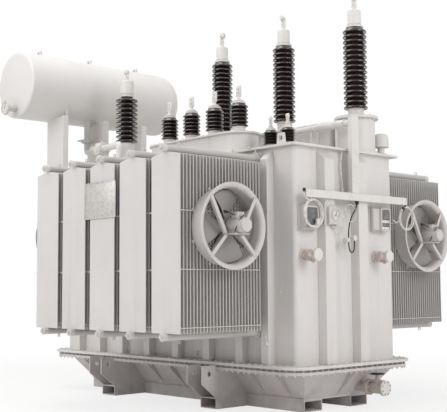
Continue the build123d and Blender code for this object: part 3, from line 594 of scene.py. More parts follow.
def bushing_ends(x, y, foot, bottom, top, base, cap, core):
    """The metal below and above one porcelain."""
    base_radius, flange_radius = base
    cap_radius, cap_height = cap
    rise = bottom - foot
    crown = top + cap_height
    lower = turned_at(at(x, y, 0), [
        (flange_radius, foot), (flange_radius, foot + rise * 0.2), (flange_radius - 4, foot + rise * 0.22),
        (base_radius + 10, foot + rise * 0.24), (base_radius, foot + rise * 0.34),
        (base_radius, bottom - rise * 0.24), (base_radius + 8, bottom - rise * 0.2),
        (base_radius + 8, bottom - rise * 0.04), (core, bottom)
    ], 56)
    upper = turned_at(at(x, y, 0), [
        (core * 0.9, top - 1), (core + 6, top + 4), (core + 6, top + 26), (cap_radius - 8, top + 32),
        (cap_radius - 8, top + 46), (cap_radius, top + 52), (cap_radius, crown - 22),
        (cap_radius - 4, crown - 8), (cap_radius - 16, crown - 1), (cap_radius * 0.5, crown),
        (cap_radius * 0.46, crown + 12), (24, crown + 16), (22, crown + 44), (16, crown + 48)
    ], 56)
    bolt_circle = (flange_radius + base_radius) / 2 + 6
    bolts = copies(bolt(13), bolts_round(x, y, foot + rise * 0.22, bolt_circle, 12))
    screws = copies(bolt(7), bolts_round(x, y, top + 30, core - 4, 8))
    return [lower, upper, bolts, screws]


def terminal(x, y, foot, height, width, thickness):
    """A flat upright pad with two bolts through it."""
    reach, half = width / 2, thickness / 2
    pad = plate(x - reach, x + reach, y - half, y + half, foot, foot + height, 4)
    faces = [
        pose(at(x, y + side * half, foot + height * share), (0, side, 0))
        for share in (0.35, 0.75) for side in (-1, 1)
    ]
    return [pad, copies(bolt(15, 6), faces)]


# %% [markdown]
# The high bushings end in a clamp for the line. Nothing is connected here, so the clamps lean as the
# fitters left them. A clamp is modelled about its own foot: home moves a plate from the drawing's middle
# to the origin.

# %% Line clamps
home = Matrix.Translation(-at(0, 0, 0))


def clamp(x, y, foot, lean):
    """Two jaws, a saddle and two bolts, leaning over by so many degrees."""
    jaws = joined([
        plate(-36, 36, -34, -10, 0, 62, 6), plate(-36, 36, 10, 34, 0, 62, 6),
        plate(-16, 16, -34, 34, 44, 82, 7)
    ])
    jaws.data.transform(home)
    ends = [pose(Vector((mm(u), mm(34 * side), mm(24))), (0, side, 0)) for side in (-1, 1) for u in (-20, 20)]
    whole = joined([jaws, copies(bolt(11, 8), ends)])
    tilt = Matrix.Rotation(math.radians(lean), 4, "Y") @ Matrix.Rotation(math.radians(24), 4, "Z")
    whole.data.transform(Matrix.Translation(at(x, y, foot)) @ tilt)
    return whole


hv_metal = []
leans = {"c": 28, "b": -30, "a": 24}
for phase, (x, y) in hv_places.items():
    foot = 3800 if phase == "c" else 3740
    hv_metal += bushing_ends(x, y, foot, 3920, 5025, (104, 150), (92, 245), 112)
    hv_metal += terminal(x, y, 5310, 130, 74, 22)
    hv_metal.append(clamp(x, y, 5425, leans[phase]))
hand_over(hv_metal, "hv_bushing_ends", duct_paint, replaces=["hv_bushing_metal"])

x, y = neutral_place
neutral_metal = bushing_ends(x, y, 3300, 3900, 4640, (120, 165), (112, 268), 98)
neutral_metal += terminal(x, y, 4948, 100, 70, 22)
neutral_metal.append(clamp(x, y, 5030, -20))
hand_over(neutral_metal, "neutral_ends", duct_paint, replaces=["neutral_metal"])

lv_metal = []
for x, y in lv_places:
    lv_metal += bushing_ends(x, y, 3640, 3745, 4060, (90, 125), (62, 60), 84)
    lv_metal += terminal(x, y, 4160, 150, 92, 20)
hand_over(lv_metal, "lv_bushing_ends", duct_paint, replaces=["lv_bushing_metal"])

aux_metal = []
for x, y in aux_places:
    aux_metal += bushing_ends(x, y, 3300, 3420, 3605, (50, 75), (36, 45), 60)
    aux_metal += terminal(x, y, 3690, 110, 52, 16)
    aux_metal.append(turned_at(at(x, y, 3738), [(16, 0), (26, 10), (28, 34), (20, 52), (8, 58)], 20))
hand_over(aux_metal, "aux_bushing_ends", duct_paint, replaces=["aux_bushing_metal"])
print("bushings done")

# %% [markdown]
# The turret under the tall bushing and the rounded box under the four low ones are rolled plate with a
# flat ring on top, where bolts every hand's width hold the lid.

# %% Turret and low-voltage box
def racetrack(start_x, end_x, y, radius, pitch):
    """Places along a straight-sided loop with round ends."""
    straight = end_x - start_x
    count = max(2, round(straight / pitch))
    turns = round(math.pi * radius / pitch)
    steps = [start_x + straight * i / count for i in range(count + 1)]
    found = [(step, y + side * radius) for step in steps for side in (-1, 1)]
    for i in range(1, turns):
        a = math.pi * i / turns
        found.append((end_x + radius * math.sin(a), y + radius * math.cos(a)))
        found.append((start_x - radius * math.sin(a), y + radius * math.cos(a)))
    return found


refined("lv_box", "lv_turret_box", 3.0)
lid_line = racetrack(-535, 965, -450, 285, 110)
lid_bolts = copies(bolt(12), [pose(at(x, y, 3640)) for x, y in lid_line])
lid_nuts = copies(bolt(12, 8), [pose(at(x, y, 3615), (0, 0, -1)) for x, y in lid_line])
turret_x, turret_y = hv_places["c"]
turret = [
    turned_at(at(turret_x, turret_y, 0), [
        (250, 3299), (250, 3762), (258, 3765), (295, 3765), (295, 3782), (292, 3784), (292, 3797),
        (288, 3800), (60, 3801)
    ], 72),
    turned_at(at(turret_x, turret_y, 0), [(285, 3300), (285, 3322), (281, 3326), (252, 3328)], 72),
    copies(bolt(12), bolts_round(turret_x, turret_y, 3800, 272, 20)),
    copies(bolt(12, 8), bolts_round(turret_x, turret_y, 3765, 272, 20, (0, 0, -1))),
]
hand_over(turret, "hv_turret_can", tank_paint, replaces=["hv_turret"])
hand_over([lid_bolts, lid_nuts], "lv_lid_bolts", tank_paint)
print("turret and", len(lid_line), "lid bolts done")

# %% [markdown]
# The conservator is a rolled drum that lies across the end of the tank. Its near end is a flat plate with a
# tight knuckle, its far end is dished. The weld between shell and ends stands out as a narrow rounded band.

# %% Conservator drum
drum_x, drum_z = -3328, 4888
drum_radius, drum_near, drum_far = 548, -1425, 1450
drum_length = drum_far - drum_near
weld_radius = drum_radius + 2.5
dish_depth = 330
near_end = [
    (8, -30), (200, -28), (drum_radius - 70, -24), (drum_radius - 34, -20), (drum_radius - 14, -13),
    (drum_radius - 3, -3), (drum_radius, 6), (drum_radius, 22), (weld_radius, 25), (weld_radius, 33),
    (drum_radius, 36)
]
shell = [(drum_radius, drum_length * i / 6) for i in range(1, 6)]
shell += [(drum_radius, drum_length - 8), (weld_radius, drum_length - 5), (weld_radius, drum_length + 3)]
dish_angles = [math.radians(90 * i / 14) for i in range(13, 0, -1)]
dish = [(drum_radius * math.sin(a), drum_length + dish_depth * math.cos(a)) for a in dish_angles]
dish.append((10, drum_length + dish_depth))
drum = turned_at(at(drum_x, drum_near, drum_z), near_end + shell + dish, 112, (0, 1, 0))
ends = ["conservator_shell", "conservator_ends"]
hand_over(drum, "conservator_drum", drum_paint, replaces=ends, smooth=30)
low, high = drum_radius - 1, drum_radius + 2
hoop = [(low, -5), (high, -2), (high, 2), (low, 5), (low, -5)]
seam_places = [at(drum_x, drum_near + drum_length * share, drum_z) for share in (0.34, 0.67)]
seams = [turned_at(place, hoop, 112, (0, 1, 0)) for place in seam_places]
hand_over(seams, "drum_seam_welds", drum_paint)

# %% [markdown]
# The level gauge sits low on the near end: a stub, a round case with a bezel, and a dial under glass with a
# pointer. The dial carries only tick marks, as slim raised bars.

# %% Level gauge
gauge_x, gauge_y, gauge_z = drum_x + 20, drum_near - 190, 4480
near_way = (0, -1, 0)
gauge_stub = [(50, 0), (50, 176), (72, 178), (72, 190), (30, 191)]
gauge_case = [
    (60, 0), (112, 0), (117, 4), (118, 12), (118, 30), (114, 38), (104, 40), (101, 39), (99, 33), (10, 32)
]
gauge_screws = [pose(at(gauge_x + u, gauge_y - 38, gauge_z + v), near_way) for u, v in circle_of(8, 110, 0)]
case_parts = [
    turned_at(at(gauge_x, drum_near + 12, gauge_z), gauge_stub, 40, near_way),
    turned_at(at(gauge_x, gauge_y, gauge_z), gauge_case, 64, near_way),
    copies(bolt(7), gauge_screws),
]
hand_over(case_parts, "level_gauge_case", case_paint, replaces=["level_gauge"])
face = turned_at(at(gauge_x, gauge_y - 31, gauge_z), [(98, 0), (98, 3), (96, 4), (6, 4.5)], 48, near_way)
hand_over(face, "level_gauge_face", white_sheath)


def tick_marks(centre, right, radius, size):
    """Sixteen marks round a dial. Every fifth is longer."""
    up = Vector((0, 0, 1))
    marks = []
    for i in range(16):
        a = math.radians(225 - 270 * i / 15)
        out = right * math.cos(a) + up * math.sin(a)
        place = centre + out * mm(radius)
        length = size if i % 5 else size * 1.7
        marks.append(bar(place - out * mm(length), place, size * 0.16, 6))
    return marks


pointer = tick_marks(at(gauge_x, gauge_y - 36, gauge_z), Vector((1, 0, 0)), 84, 12)
pointer += [
    bar(
        at(gauge_x - 10, gauge_y - 37.5, gauge_z - 24), at(gauge_x + 22, gauge_y - 37.5, gauge_z + 66), 3.0, 8
    ),
    turned_at(at(gauge_x, gauge_y - 35, gauge_z), [(9, 0), (9, 4), (6, 6)], 20, near_way)
]
hand_over(pointer, "level_gauge_pointer", black_rubber)

# %% [markdown]
# The relay pipe falls from the drum into the cover. It passes a flanged valve, a bellows that takes up
# movement and the gas relay. One bent tube, flanges from the lathe and a case with bevelled corners make
# it.

# %% Relay pipe
def pipe_flange(depth, place, towards=(0, 0, 1)):
    """A pair of bolted flanges with their joint at a place."""
    outer, bore = 105, 50
    pair = lathe([
        (bore, -depth), (outer - 3, -depth), (outer, -depth + 3), (outer, -2), (outer - 5, -1),
        (outer - 5, 1), (outer, 2), (outer, depth - 3), (outer - 3, depth), (bore, depth)
    ], 40)
    circle = circle_of(8, (outer + bore) / 2 + 3)
    heads = [pose(Vector((mm(u), mm(v), mm(depth)))) for u, v in circle]
    nuts = [pose(Vector((mm(u), mm(v), mm(-depth))), (0, 0, -1)) for u, v in circle]
    whole = joined([pair, copies(bolt(11), heads), copies(bolt(11, 6), nuts)])
    whole.data.transform(pose(place, towards))
    return whole


pipe_x, pipe_y = drum_x + 180, -150
bend = Vector((pipe_x, pipe_y, 3850))
entry = Vector((-1650, -560, 3790))
run = (entry - bend).normalized()
line = [(pipe_x, pipe_y, z) for z in (4560, 4200, 4040)]
line += [tuple(bend + run * distance) for distance in (0, 190, 420, 900)]
line += [tuple(entry - run * 150)] + [(entry.x, entry.y, z) for z in (entry.z, 3640, 3480, 3300)]
pipe = [tube(line, 55, 24)]
pipe += [pipe_flange(22, at(pipe_x, pipe_y, 4050)), pipe_flange(20, at(entry.x, entry.y, 3322))]
pipe += [pipe_flange(16, at(*(bend + run * distance)), run) for distance in (632, 842)]
fold = [(60, -14), (82, -9), (84, 0), (82, 9), (60, 14)]
bellows = [(52, -16)] + [(radius, z + 32 * i) for i in range(7) for radius, z in fold] + [(52, 210)]
pipe.append(turned_at(at(*(bend + run * 305)), bellows, 36, run))
bpy.ops.object.select_all(action="DESELECT")
bpy.ops.mesh.primitive_cube_add(size=mm(190))
relay = joined([
    softened(bpy.context.object, 16, 3),
    turned_at(Vector((0, mm(-94), 0)), [(62, 0), (62, 12), (56, 16), (50, 12), (12, 11)], 32, near_way),
    turned_at(Vector((0, 0, mm(94))), [(12, 0), (12, 26), (22, 28), (22, 44), (8, 46)], 16)
])
along_pipe = run.to_track_quat("Y", "Z").to_matrix().to_4x4() @ Matrix.Rotation(math.radians(90), 4, "Z")
relay.data.transform(Matrix.Translation(at(*(bend + run * 735))) @ along_pipe)
valve_stem = bar(at(pipe_x, pipe_y - 60, 4040), at(pipe_x, pipe_y - 190, 4040), 10)
lever = plate(pipe_x - 12, pipe_x + 150, pipe_y - 190, pipe_y - 182, 4028, 4052, 3)
pipe += [relay, valve_stem, lever]
hand_over(pipe, "gas_relay_line", drum_paint, replaces=["relay_pipe"])
refined("drum_fittings", "drum_lugs", 3.0)
print("drum and relay line done")

# %% [markdown]
# A lever cock hangs under the drum on the near side, for draining it. The column feet are bolted to their
# beams.

# %% Drum cock and column bolts
cock_x, cock_y = -2950, -700
cock_body = [(24, 0), (38, 6), (38, 26), (30, 32), (30, 74), (38, 80), (38, 100), (24, 106)]
cock = [
    tube([(cock_x, cock_y, z) for z in (4520, 4440, 4300, 4160)], 20, 12),
    turned_at(at(cock_x, cock_y, 4180), cock_body, 24),
    tube([
        (cock_x, cock_y - 20, 4236), (cock_x, cock_y - 60, 4240), (cock_x + 20, cock_y - 80, 4246),
        (cock_x + 170, cock_y - 84, 4256)
    ], 8),
    bar(at(-2800, cock_y - 84, 4226), at(-2800, cock_y - 84, 4290), 11),
]
hand_over(cock, "drum_drain_cock", drum_paint)
column_lines = (-810, 0, 810)
foot_lines = (-3260, -3100, -2940, -2850)
feet = [pose(at(x, y + side, 3190)) for y in column_lines for x in foot_lines for side in (-32, 32)]
pads = [plate(-3355, -2795, y - 52, y + 52, 3176, 3190, 2) for y in column_lines]
hand_over(pads + [copies(bolt(12, 5), feet)], "column_foot_bolts", drum_paint)

# %% [markdown]
# Each end radiator carries a fan in a bell-mouthed ring of rolled sheet. Four folded struts and a shelf
# hold the motor in front of the blades, and a wire guard keeps hands out behind them. One fan is modelled
# about Z, with its back at Z = 0, and copied to the four places.

# %% Fan ring with its struts
fan_poses = []
for y in (-1870, 1870):
    for x, side in ((2147, 1), (-889, -1)):
        turn = Matrix(((0, 0, side), (side, 0, 0), (0, 1, 0))).to_4x4()
        fan_poses.append(Matrix.Translation(at(x, y, 2252)) @ turn)


def on_each_fan(unit, name, paint, turns=False, instead_of="", smooth=40):
    """One copy of a unit on each fan. It may turn with the rotor, and stand in for a CAD node."""
    for number, placed in enumerate(fan_poses, 1):
        copy = bpy.data.objects.new(unit.name, unit.data.copy())
        copy.data.transform(placed)
        bpy.context.collection.objects.link(copy)
        body = f"fan_{number}" if turns else "transformer"
        old = [f"{instead_of}_{number}"] if instead_of else []
        hand_over(copy, f"{name}_{number}", paint, body, old, smooth)
    bpy.data.objects.remove(unit)


def local_plate(x0, x1, y0, y1, z0, z1, edge=2.0):
    """A plate about the fan's own centre instead of the drawing's."""
    piece = plate(x0, x1, y0, y1, z0, z1, edge)
    piece.data.transform(home)
    return piece


def fan_housing():
    """The ring, its struts with a folded lip, the motor's shelf and the feet round the ring's back."""
    wall = 12
    throat, mouth, depth = 440, 509, 233
    curve = [math.radians(15 * i) for i in range(1, 6)]
    back = throat + wall
    flare, inner_flare = mouth - throat - wall, mouth - 12 - throat
    outline = [(throat, 1), (back - 3, 1), (back, 4), (back, depth - 76)]
    outline += [(back + flare * (1 - math.cos(a)), depth - 76 + 64 * math.sin(a)) for a in curve]
    outline += [(mouth - 3, depth - 13), (mouth, depth - 9), (mouth, depth - 4)]
    outline += [(mouth - 3, depth), (mouth - 9, depth - 1)]
    outline += [
        (throat + inner_flare * (1 - math.cos(a)), depth - 62 + 60 * math.sin(a)) for a in reversed(curve)
    ]
    outline += [(throat, depth - 66), (throat, 1)]
    parts = [lathe(outline, 96)]
    for angle, side in ((45, 1), (135, -1), (225, -1), (315, 1)):
        tip = Vector((math.cos(math.radians(angle)), math.sin(math.radians(angle)), 0)) * 500
        root = Vector((side * 118, -104, 0))
        along = tip - root
        lip = -22 if side > 0 else 17
        strut = joined([
            local_plate(0, along.length, -22, 22, 228, 233),
            local_plate(0, along.length, lip, lip + 5, 188, 231)
        ])
        turn = Matrix.Rotation(math.atan2(along.y, along.x), 4, "Z")
        strut.data.transform(Matrix.Translation((mm(root.x), mm(root.y), 0)) @ turn)
        ends = [root + along * share for share in (0.97, 0.06)]
        parts += [strut, copies(bolt(9), [Matrix.Translation((mm(e.x), mm(e.y), mm(232.5))) for e in ends])]
    parts += [local_plate(-118, 118, -104, -92, 150, 360, 3), local_plate(-75, 75, -93, -56, 205, 330, 3)]
    for i in range(8):
        turn = Matrix.Rotation(math.radians(22.5 + 45 * i), 4, "Z")
        foot = local_plate(back - 2, back + 34, -16, 16, 1, 7)
        foot.data.transform(turn)
        parts += [foot, copies(bolt(8), [turn @ Matrix.Translation((mm(throat + 32), 0, mm(6.5)))])]
    return joined(parts)


housing = fan_housing()
print("one fan housing", len(housing.data.polygons), "faces")
on_each_fan(housing, "fan_housing", fan_paint, instead_of="fan_ring", smooth=32)

# %% [markdown]
# The guard is wire: rings a finger apart on a cross of four spokes, clipped inside the ring's back edge.

# %% Fan guard
def wire_ring(radius, wire, sides, wire_sides):
    """A round ring that lies flat about the origin."""
    bpy.ops.object.select_all(action="DESELECT")
    bpy.ops.mesh.primitive_torus_add(
        major_radius=mm(radius), minor_radius=mm(wire), major_segments=sides, minor_segments=wire_sides
    )
    return settle(bpy.context.object)


def fan_guard():
    """Eleven rings, a hub band and four spokes."""
    parts = []
    for i in range(11):
        ring = wire_ring(106 + 32.5 * i, 4.4, 48, 5)
        ring.data.transform(Matrix.Translation((0, 0, mm(14))))
        parts.append(ring)
    parts.append(lathe([(40, 10), (104, 10), (106, 12), (106, 16), (104, 18), (40, 18)], 32))
    spoke = bar(Vector((mm(100), 0, mm(10))), Vector((mm(438), 0, mm(10))), 4, 8)
    parts.append(copies(spoke, [Matrix.Rotation(math.radians(90 * i), 4, "Z") for i in range(4)]))
    return joined(parts)


hand_over(copies(fan_guard(), fan_poses), "fan_guards", fan_paint)

# %% [markdown]
# The motor is a finned casting with an eight-sided front cover, a foot, and a terminal box with its gland.
# A short cable loops from the gland to the ring. The fins leave room for the foot and for the terminal box.

# %% Fan motor
def fan_motor():
    """The casting with its fins, cover, terminal box and gland."""
    front = 428
    parts = [lathe([
        (14, 63), (14, 170), (60, 173), (86, 176), (88, 182), (88, front - 12), (84, front - 4),
        (40, front - 2)
    ], 40)]
    for i in range(24):
        a = math.radians(15 * i + 7.5)
        if abs(math.sin(a) + 0.8) < 0.25 or math.sin(a) > 0.83:
            continue
        fin = local_plate(84, 92, -2, 2, 190, front - 30, 1)
        fin.data.transform(Matrix.Rotation(a, 4, "Z"))
        parts.append(fin)
    cover = lathe([(84, front - 2), (86, front + 2), (86, front + 12), (78, front + 20), (20, front + 22)], 8)
    cover.data.transform(Matrix.Rotation(math.radians(22.5), 4, "Z"))
    screws = [Matrix.Translation((mm(u), mm(v), mm(front + 20))) for u, v in circle_of(4, 66, 0.25)]
    lid_screws = [pose(Vector((mm(x), mm(153), mm(z))), (0, 1, 0)) for x in (-46, 46) for z in (243, 337)]
    gland = [(22, 0), (22, 10), (17, 14), (17, 26), (21, 30), (21, 44), (12, 48)]
    parts += [
        cover, copies(bolt(6), screws), local_plate(-52, 52, 78, 146, 235, 345, 6),
        local_plate(-56, 56, 144, 154, 231, 349, 4), copies(bolt(6), lid_screws),
        turned_at(Vector((0, mm(114), mm(344))), gland, 6)
    ]
    return joined(parts)


def local_tube(points, radius):
    """A bent tube about the origin."""
    piece = tube(points, radius)
    piece.data.transform(home)
    return piece


motors = copies(fan_motor(), fan_poses)
hand_over(motors, "fan_motor_bodies", fan_paint, replaces=["fan_motors"], smooth=30)
leads = [
    local_tube([
        (0, 114, 392), (0, 114, 412), (-30, 110, 420), (-70, 60, 400), (-84, -20, 360), (-100, -92, 340)
    ], 6),
    local_tube([(-52, 118, 300), (-80, 122, 292), (-110, 150, 270), (-128, 158, 240), (-150, 150, 236)], 6),
]
clip = [(10, -8), (12, 0), (10, 8)]
for x, y in ((-118, 150), (-134, 162), (-148, 148), (-160, 160)):
    leads.append(turned_at(Vector((mm(x), mm(y), mm(240))), clip, 10, (1, 0.6, 0)))
hand_over(copies(joined(leads), fan_poses), "fan_motor_cables", black_rubber)

# %% [markdown]
# The rotor turns, so its spinner and the screws that hold the blades ride on the fan's own body.

# %% Rotor fittings
spinner = joined([
    lathe([(94, 134), (94, 140), (70, 150), (34, 152), (30, 160), (15, 161), (15, 134), (94, 134)], 48),
    copies(bolt(8), [Matrix.Translation((mm(u), mm(v), mm(144))) for u, v in circle_of(8, 82, 0)])
])
# The spinner takes the dark blade paint, which is painted shade for the inside of the ring.
on_each_fan(spinner, "fan_spinner", blade_paint, turns=True)

# %% [markdown]
# The four blades are wide pressed sheets, like slices of a pie that leave only narrow gaps. A flat grid
# is bent into shape: each row of points is set at its own pitch, steeper at the hub than at the tip, with
# a slight camber.

# %% Rotor blades
def blade():
    """One blade. On the grid, u runs from hub to tip and v from edge to edge."""
    half_angle, hub_edge, tip = math.radians(33.5), 92, 425
    bpy.ops.object.select_all(action="DESELECT")
    bpy.ops.mesh.primitive_grid_add(x_subdivisions=14, y_subdivisions=16, size=2)
    piece = settle(bpy.context.object)
    for vertex in piece.data.vertices:
        u, v = (vertex.co.x + 1) / 2, vertex.co.y
        corner = 1 - 0.05 * u * v * v
        radius = hub_edge + (tip - hub_edge) * u * corner
        angle = half_angle * v * (0.92 + 0.08 * u)
        pitch = math.radians(34 - 22 * u)
        camber = 7 * math.cos(v * math.pi / 2) - 3
        lift = radius * angle * math.tan(pitch) * 0.92 + camber
        vertex.co = (mm(radius * math.cos(angle)), mm(radius * math.sin(angle)), mm(90 + lift))
    modified(piece, "SOLIDIFY", thickness=mm(6), offset=0)
    return softened(piece, 2)


def rotor():
    """The hub, the four blades and the arms that hold them."""
    hub = lathe([(15, 52), (88, 52), (97, 58), (100, 64), (100, 129), (96, 133), (15, 134), (15, 52)], 64)
    turns = [Matrix.Rotation(math.radians(90 * i), 4, "Z") for i in range(4)]
    arm = local_plate(70, 150, -20, 20, 86, 98, 3)
    arm.data.transform(Matrix.Rotation(math.radians(-30), 4, "X"))
    return joined([hub, copies(blade(), turns), copies(arm, turns)])


# The blades and hub take the dark blade paint, which is painted shade for the inside of the ring.
on_each_fan(rotor(), "fan_blades", blade_paint, turns=True, instead_of="fan_rotor", smooth=38)
print("fans done")

# %% [markdown]
# The tank is bolted to its lower part all the way round. Each bolt has its head on the upper flange,
# a shank across the gap and a nut below, so one bolt is built and copied along the rounded rectangle.
# Over the haul plates there is no room for a nut.

# %% Tank flange bolts
def around(half_x, half_y, radius, pitch):
    """Evenly spaced places on a rectangle with round corners, about the tank's middle."""
    sides = [2 * (half_x - radius), 2 * (half_y - radius)]
    total = 2 * sum(sides) + 2 * math.pi * radius
    count = round(total / pitch)
    found = []
    for i in range(count):
        run = total * (i + 0.5) / count
        for quarter in range(4):
            straight = sides[quarter % 2]
            a = math.pi / 2 * quarter
            along = Vector((math.cos(a), math.sin(a), 0))
            out = Vector((math.sin(a), -math.cos(a), 0))
            reach = half_y if quarter % 2 == 0 else half_x
            start = out * reach - along * straight / 2
            if run <= straight:
                found.append(start + along * run)
                break
            run -= straight
            if run <= math.pi / 2 * radius:
                centre = start + along * straight - out * radius
                turned = run / radius
                found.append(centre + (out * math.cos(turned) + along * math.sin(turned)) * radius)
                break
            run -= math.pi / 2 * radius
    return found


flange_line = around(2630, 1105, 250, 104)
heads = copies(bolt(17), [pose(at(p.x, p.y, 595)) for p in flange_line])
shank = lathe([(9, 0), (10, 2), (10, 36), (9, 38)], 8)
shanks = copies(shank, [pose(at(p.x, p.y, 526)) for p in flange_line])
clear_of_plates = [
    p for p in flange_line if min(abs(abs(p.x) - q) for q in (941, 1247)) > 40 or abs(p.y) < 1000
]
nuts = copies(bolt(17, 9), [pose(at(p.x, p.y, 495), (0, 0, -1)) for p in clear_of_plates])
hand_over([heads, shanks, nuts], "tank_flange_bolts", tank_paint)
print(len(flange_line), "flange bolts")

# %% [markdown]
# Welds join the stiffeners, the cover and the corner seams. A weld is a slim rounded bead, never quite
# even, so the lathe draws it with a small ripple for every pass, and it is copied to each seam.

# %% Weld beads
def bead(length, radius=4.5):
    """A weld bead along Z, with the small ripples of its passes."""
    count = round(length / 48)
    return lathe([(radius * (0.8 if i % 2 else 1), length * i / count) for i in range(count + 1)], 6)


rib_half = 65
radiator_middles = [1887 - 629 * i for i in range(5)]
rib_middles = [x - 314.5 for x in radiator_middles] + [2045, -1500, -2045]
rib_edges = [x + side for x in rib_middles for side in (-rib_half, rib_half)]
uprights = copies(bead(2540), [pose(at(x, y, 600)) for x in rib_edges for y in (-945, 945)])
along = copies(bead(4800), [pose(at(-2400, y, z), (1, 0, 0)) for y in (-945, 945) for z in (596, 3268)])
across = copies(bead(1760), [pose(at(x, -880, z), (0, 1, 0)) for x in (-2470, 2470) for z in (596, 3268)])
hand_over([uprights, along, across], "tank_welds", tank_paint)

# %% [markdown]
# The radiators are packs of pressed plates. Thin tie bars across both faces keep the plates in step,
# straps link one pack to the next, and each header has a butterfly valve with a lever at the tank.

# %% Radiator trim
def radiator_trim(side):
    """Tie bars, eyes, plugs and valve levers of one pack, about the middle of its width."""
    parts = []
    inner, outer = 1242, 2492
    out = (0, side, 0)
    eye = [(17, -5), (22, -5), (22, 5), (17, 5), (17, -5)]
    for z in (2420, 1750, 1090):
        for x in (-264, 264):
            parts.append(bar(at(x, side * (inner - 6), z), at(x, side * (outer + 5), z), 6, 8))
    for z, lift in ((3150, 1), (985, -1)):
        for y in (1420, 2300):
            parts.append(turned_at(at(0, side * y, z + lift * 66), eye, 20, (0, 1, 0)))
            low, high = sorted((z + lift * 40, z + lift * 52))
            parts.append(plate(-6, 6, side * y - 14, side * y + 14, low, high, 1))
        plug = [(30, 0), (30, 10), (24, 12), (24, 26), (14, 28)]
        cap = [(47, 0), (50, 2), (50, 10), (47, 12), (30, 13)]
        parts.append(turned_at(at(0, side * (outer + 58), z), plug, 6, out))
        parts.append(turned_at(at(0, side * (outer + 46), z), cap, 40, out))
        for y, towards in ((1060, 1), (1020, -1)):
            heads = [pose(at(u, side * y, z + v), (0, side * towards, 0)) for u, v in circle_of(4, 66)]
            parts.append(copies(bolt(10, 4), heads))
        parts.append(bar(at(0, side * 1040, z + 40), at(0, side * 1040, z + 124), 9))
        parts.append(plate(-9, 9, *sorted((side * 1032, side * 1150)), z + 112, z + 120, 3))
        parts.append(turned_at(at(0, side * 1146, z + 118), [(8, 0), (14, 6), (14, 22), (8, 28)], 12))
    return joined(parts)


for side, word in ((-1, "near"), (1, "far")):
    trim = copies(radiator_trim(side), [Matrix.Translation((mm(x), 0, 0)) for x in radiator_middles])
    hand_over(trim, word + "_radiator_trim", fan_paint)
    low, high = sorted((side * 2440, side * 2446))
    straps = [
        plate(x - 365, x - 264, low, high, z - 11, z + 11, 1)
        for x in radiator_middles[:-1] for z in (2420, 1750)
    ]
    hand_over(straps, word + "_radiator_straps", fan_paint)
for number in range(1, 6):
    for word in ("near", "far"):
        refined(f"{word}_radiator_{number}", f"{word}_cooler_{number}", 3.0)

# %% [markdown]
# The radiator at the bottom near the tank's end has a drain cock on a bent pipe, which hangs below the
# header.

# %% Radiator drain cock
cock = [
    tube([(2147, -1180, 960), (2175, -1180, 948), (2185, -1180, 900), (2186, -1180, 850)], 9),
    turned_at(at(2186, -1180, 842), [(12, 0), (20, 4), (20, 40), (14, 46), (10, 60)], 16),
    tube([(2186, -1180, 872), (2200, -1200, 880), (2250, -1236, 930), (2262, -1244, 968)], 6, 6),
]
hand_over(cock, "radiator_drain_cock", fan_paint)

# %% [markdown]
# The rating plate hangs on the third radiator. It is left bare: a thin sheet with a raised frame and four
# rivets.

# %% Rating plate
sheet = [plate(262, 935, -2506, -2502, 2408, 2868, 1)]
border = ((262, 935, 2408, 2422), (262, 935, 2854, 2868), (262, 276, 2408, 2868), (921, 935, 2408, 2868))
sheet += [plate(x0, x1, -2509, -2504, z0, z1, 1.5) for x0, x1, z0, z1 in border]
sheet.append(plate(300, 897, -2507.5, -2505.5, 2446, 2830, 0.8))
rivets = [pose(at(x, -2509, z), near_way) for x in (269, 928) for z in (2415, 2861)]
sheet.append(copies(lathe([(6, 0), (6, 1.5), (4, 3.4), (1, 4)], 12), rivets))
sheet += [plate(x, x + 26, -2503, -2489, 2430, 2850, 1) for x in (300, 870)]
hand_over(sheet, "rating_plate", plate_steel)
print("tank, welds and radiators done")

# %% [markdown]
# Three instruments hang on the end wall under the wiring tray. The left one is a flat box behind a rounded
# window frame, the middle one has a round dial, and the right one is a case with a glazed front.

# %% Instrument cases
outward = (1, 0, 0)
wall_x = 2470
rib_x = wall_x + 120


def window_frame(x, y0, y1, z0, z1, depth, border, corner):
    """A rounded frame that faces +X, cut from a plate by an inset and a pull back."""
    piece = plate(x, x + depth, y0, y1, z0, z1, 0)
    choose(piece, "EDGE", lambda edge: abs(edge.verts[0].co.x - edge.verts[1].co.x) > mm(depth) * 0.5)
    bpy.ops.mesh.bevel(offset=mm(corner), segments=5, affect="EDGES")
    bpy.ops.object.mode_set(mode="OBJECT")
    choose(piece, "FACE", lambda face: face.normal.x > 0.9)
    bpy.ops.mesh.inset(thickness=mm(border))
    bpy.ops.mesh.extrude_region_move(TRANSFORM_OT_translate={"value": (-mm(depth * 0.45), 0, 0)})
    bpy.ops.object.mode_set(mode="OBJECT")
    return softened(piece, 2)


def screws_on(x, places, width):
    """Screw heads that face outwards, at (y, z) places."""
    return copies(bolt(width), [pose(at(x, y, z), outward) for y, z in places])


cases = [
    plate(wall_x, wall_x + 84, -880, -640, 2236, 2540, 8),
    plate(wall_x, wall_x + 14, -905, -622, 2218, 2556, 3),
    window_frame(wall_x + 80, -876, -644, 2250, 2528, 38, 20, 44),
    plate(rib_x, rib_x + 12, -560, -322, 2290, 2560, 3),
    plate(rib_x, rib_x + 56, -520, -338, 2306, 2528, 10),
    plate(wall_x, wall_x + 12, 452, 798, 2262, 2580, 3),
    plate(wall_x, wall_x + 68, 480, 780, 2276, 2564, 10),
    window_frame(wall_x + 64, 596, 796, 2262, 2572, 34, 20, 40),
    plate(wall_x + 20, wall_x + 60, 470, 486, 2250, 2590, 3),
    screws_on(wall_x + 14, [(y, z) for y in (-895, -632) for z in (2228, 2546)], 7),
    screws_on(rib_x + 12, [(y, z) for y in (-548, -334) for z in (2298, 2550)], 6),
    screws_on(wall_x + 12, [(y, z) for y in (460, 790) for z in (2270, 2572)], 6),
]
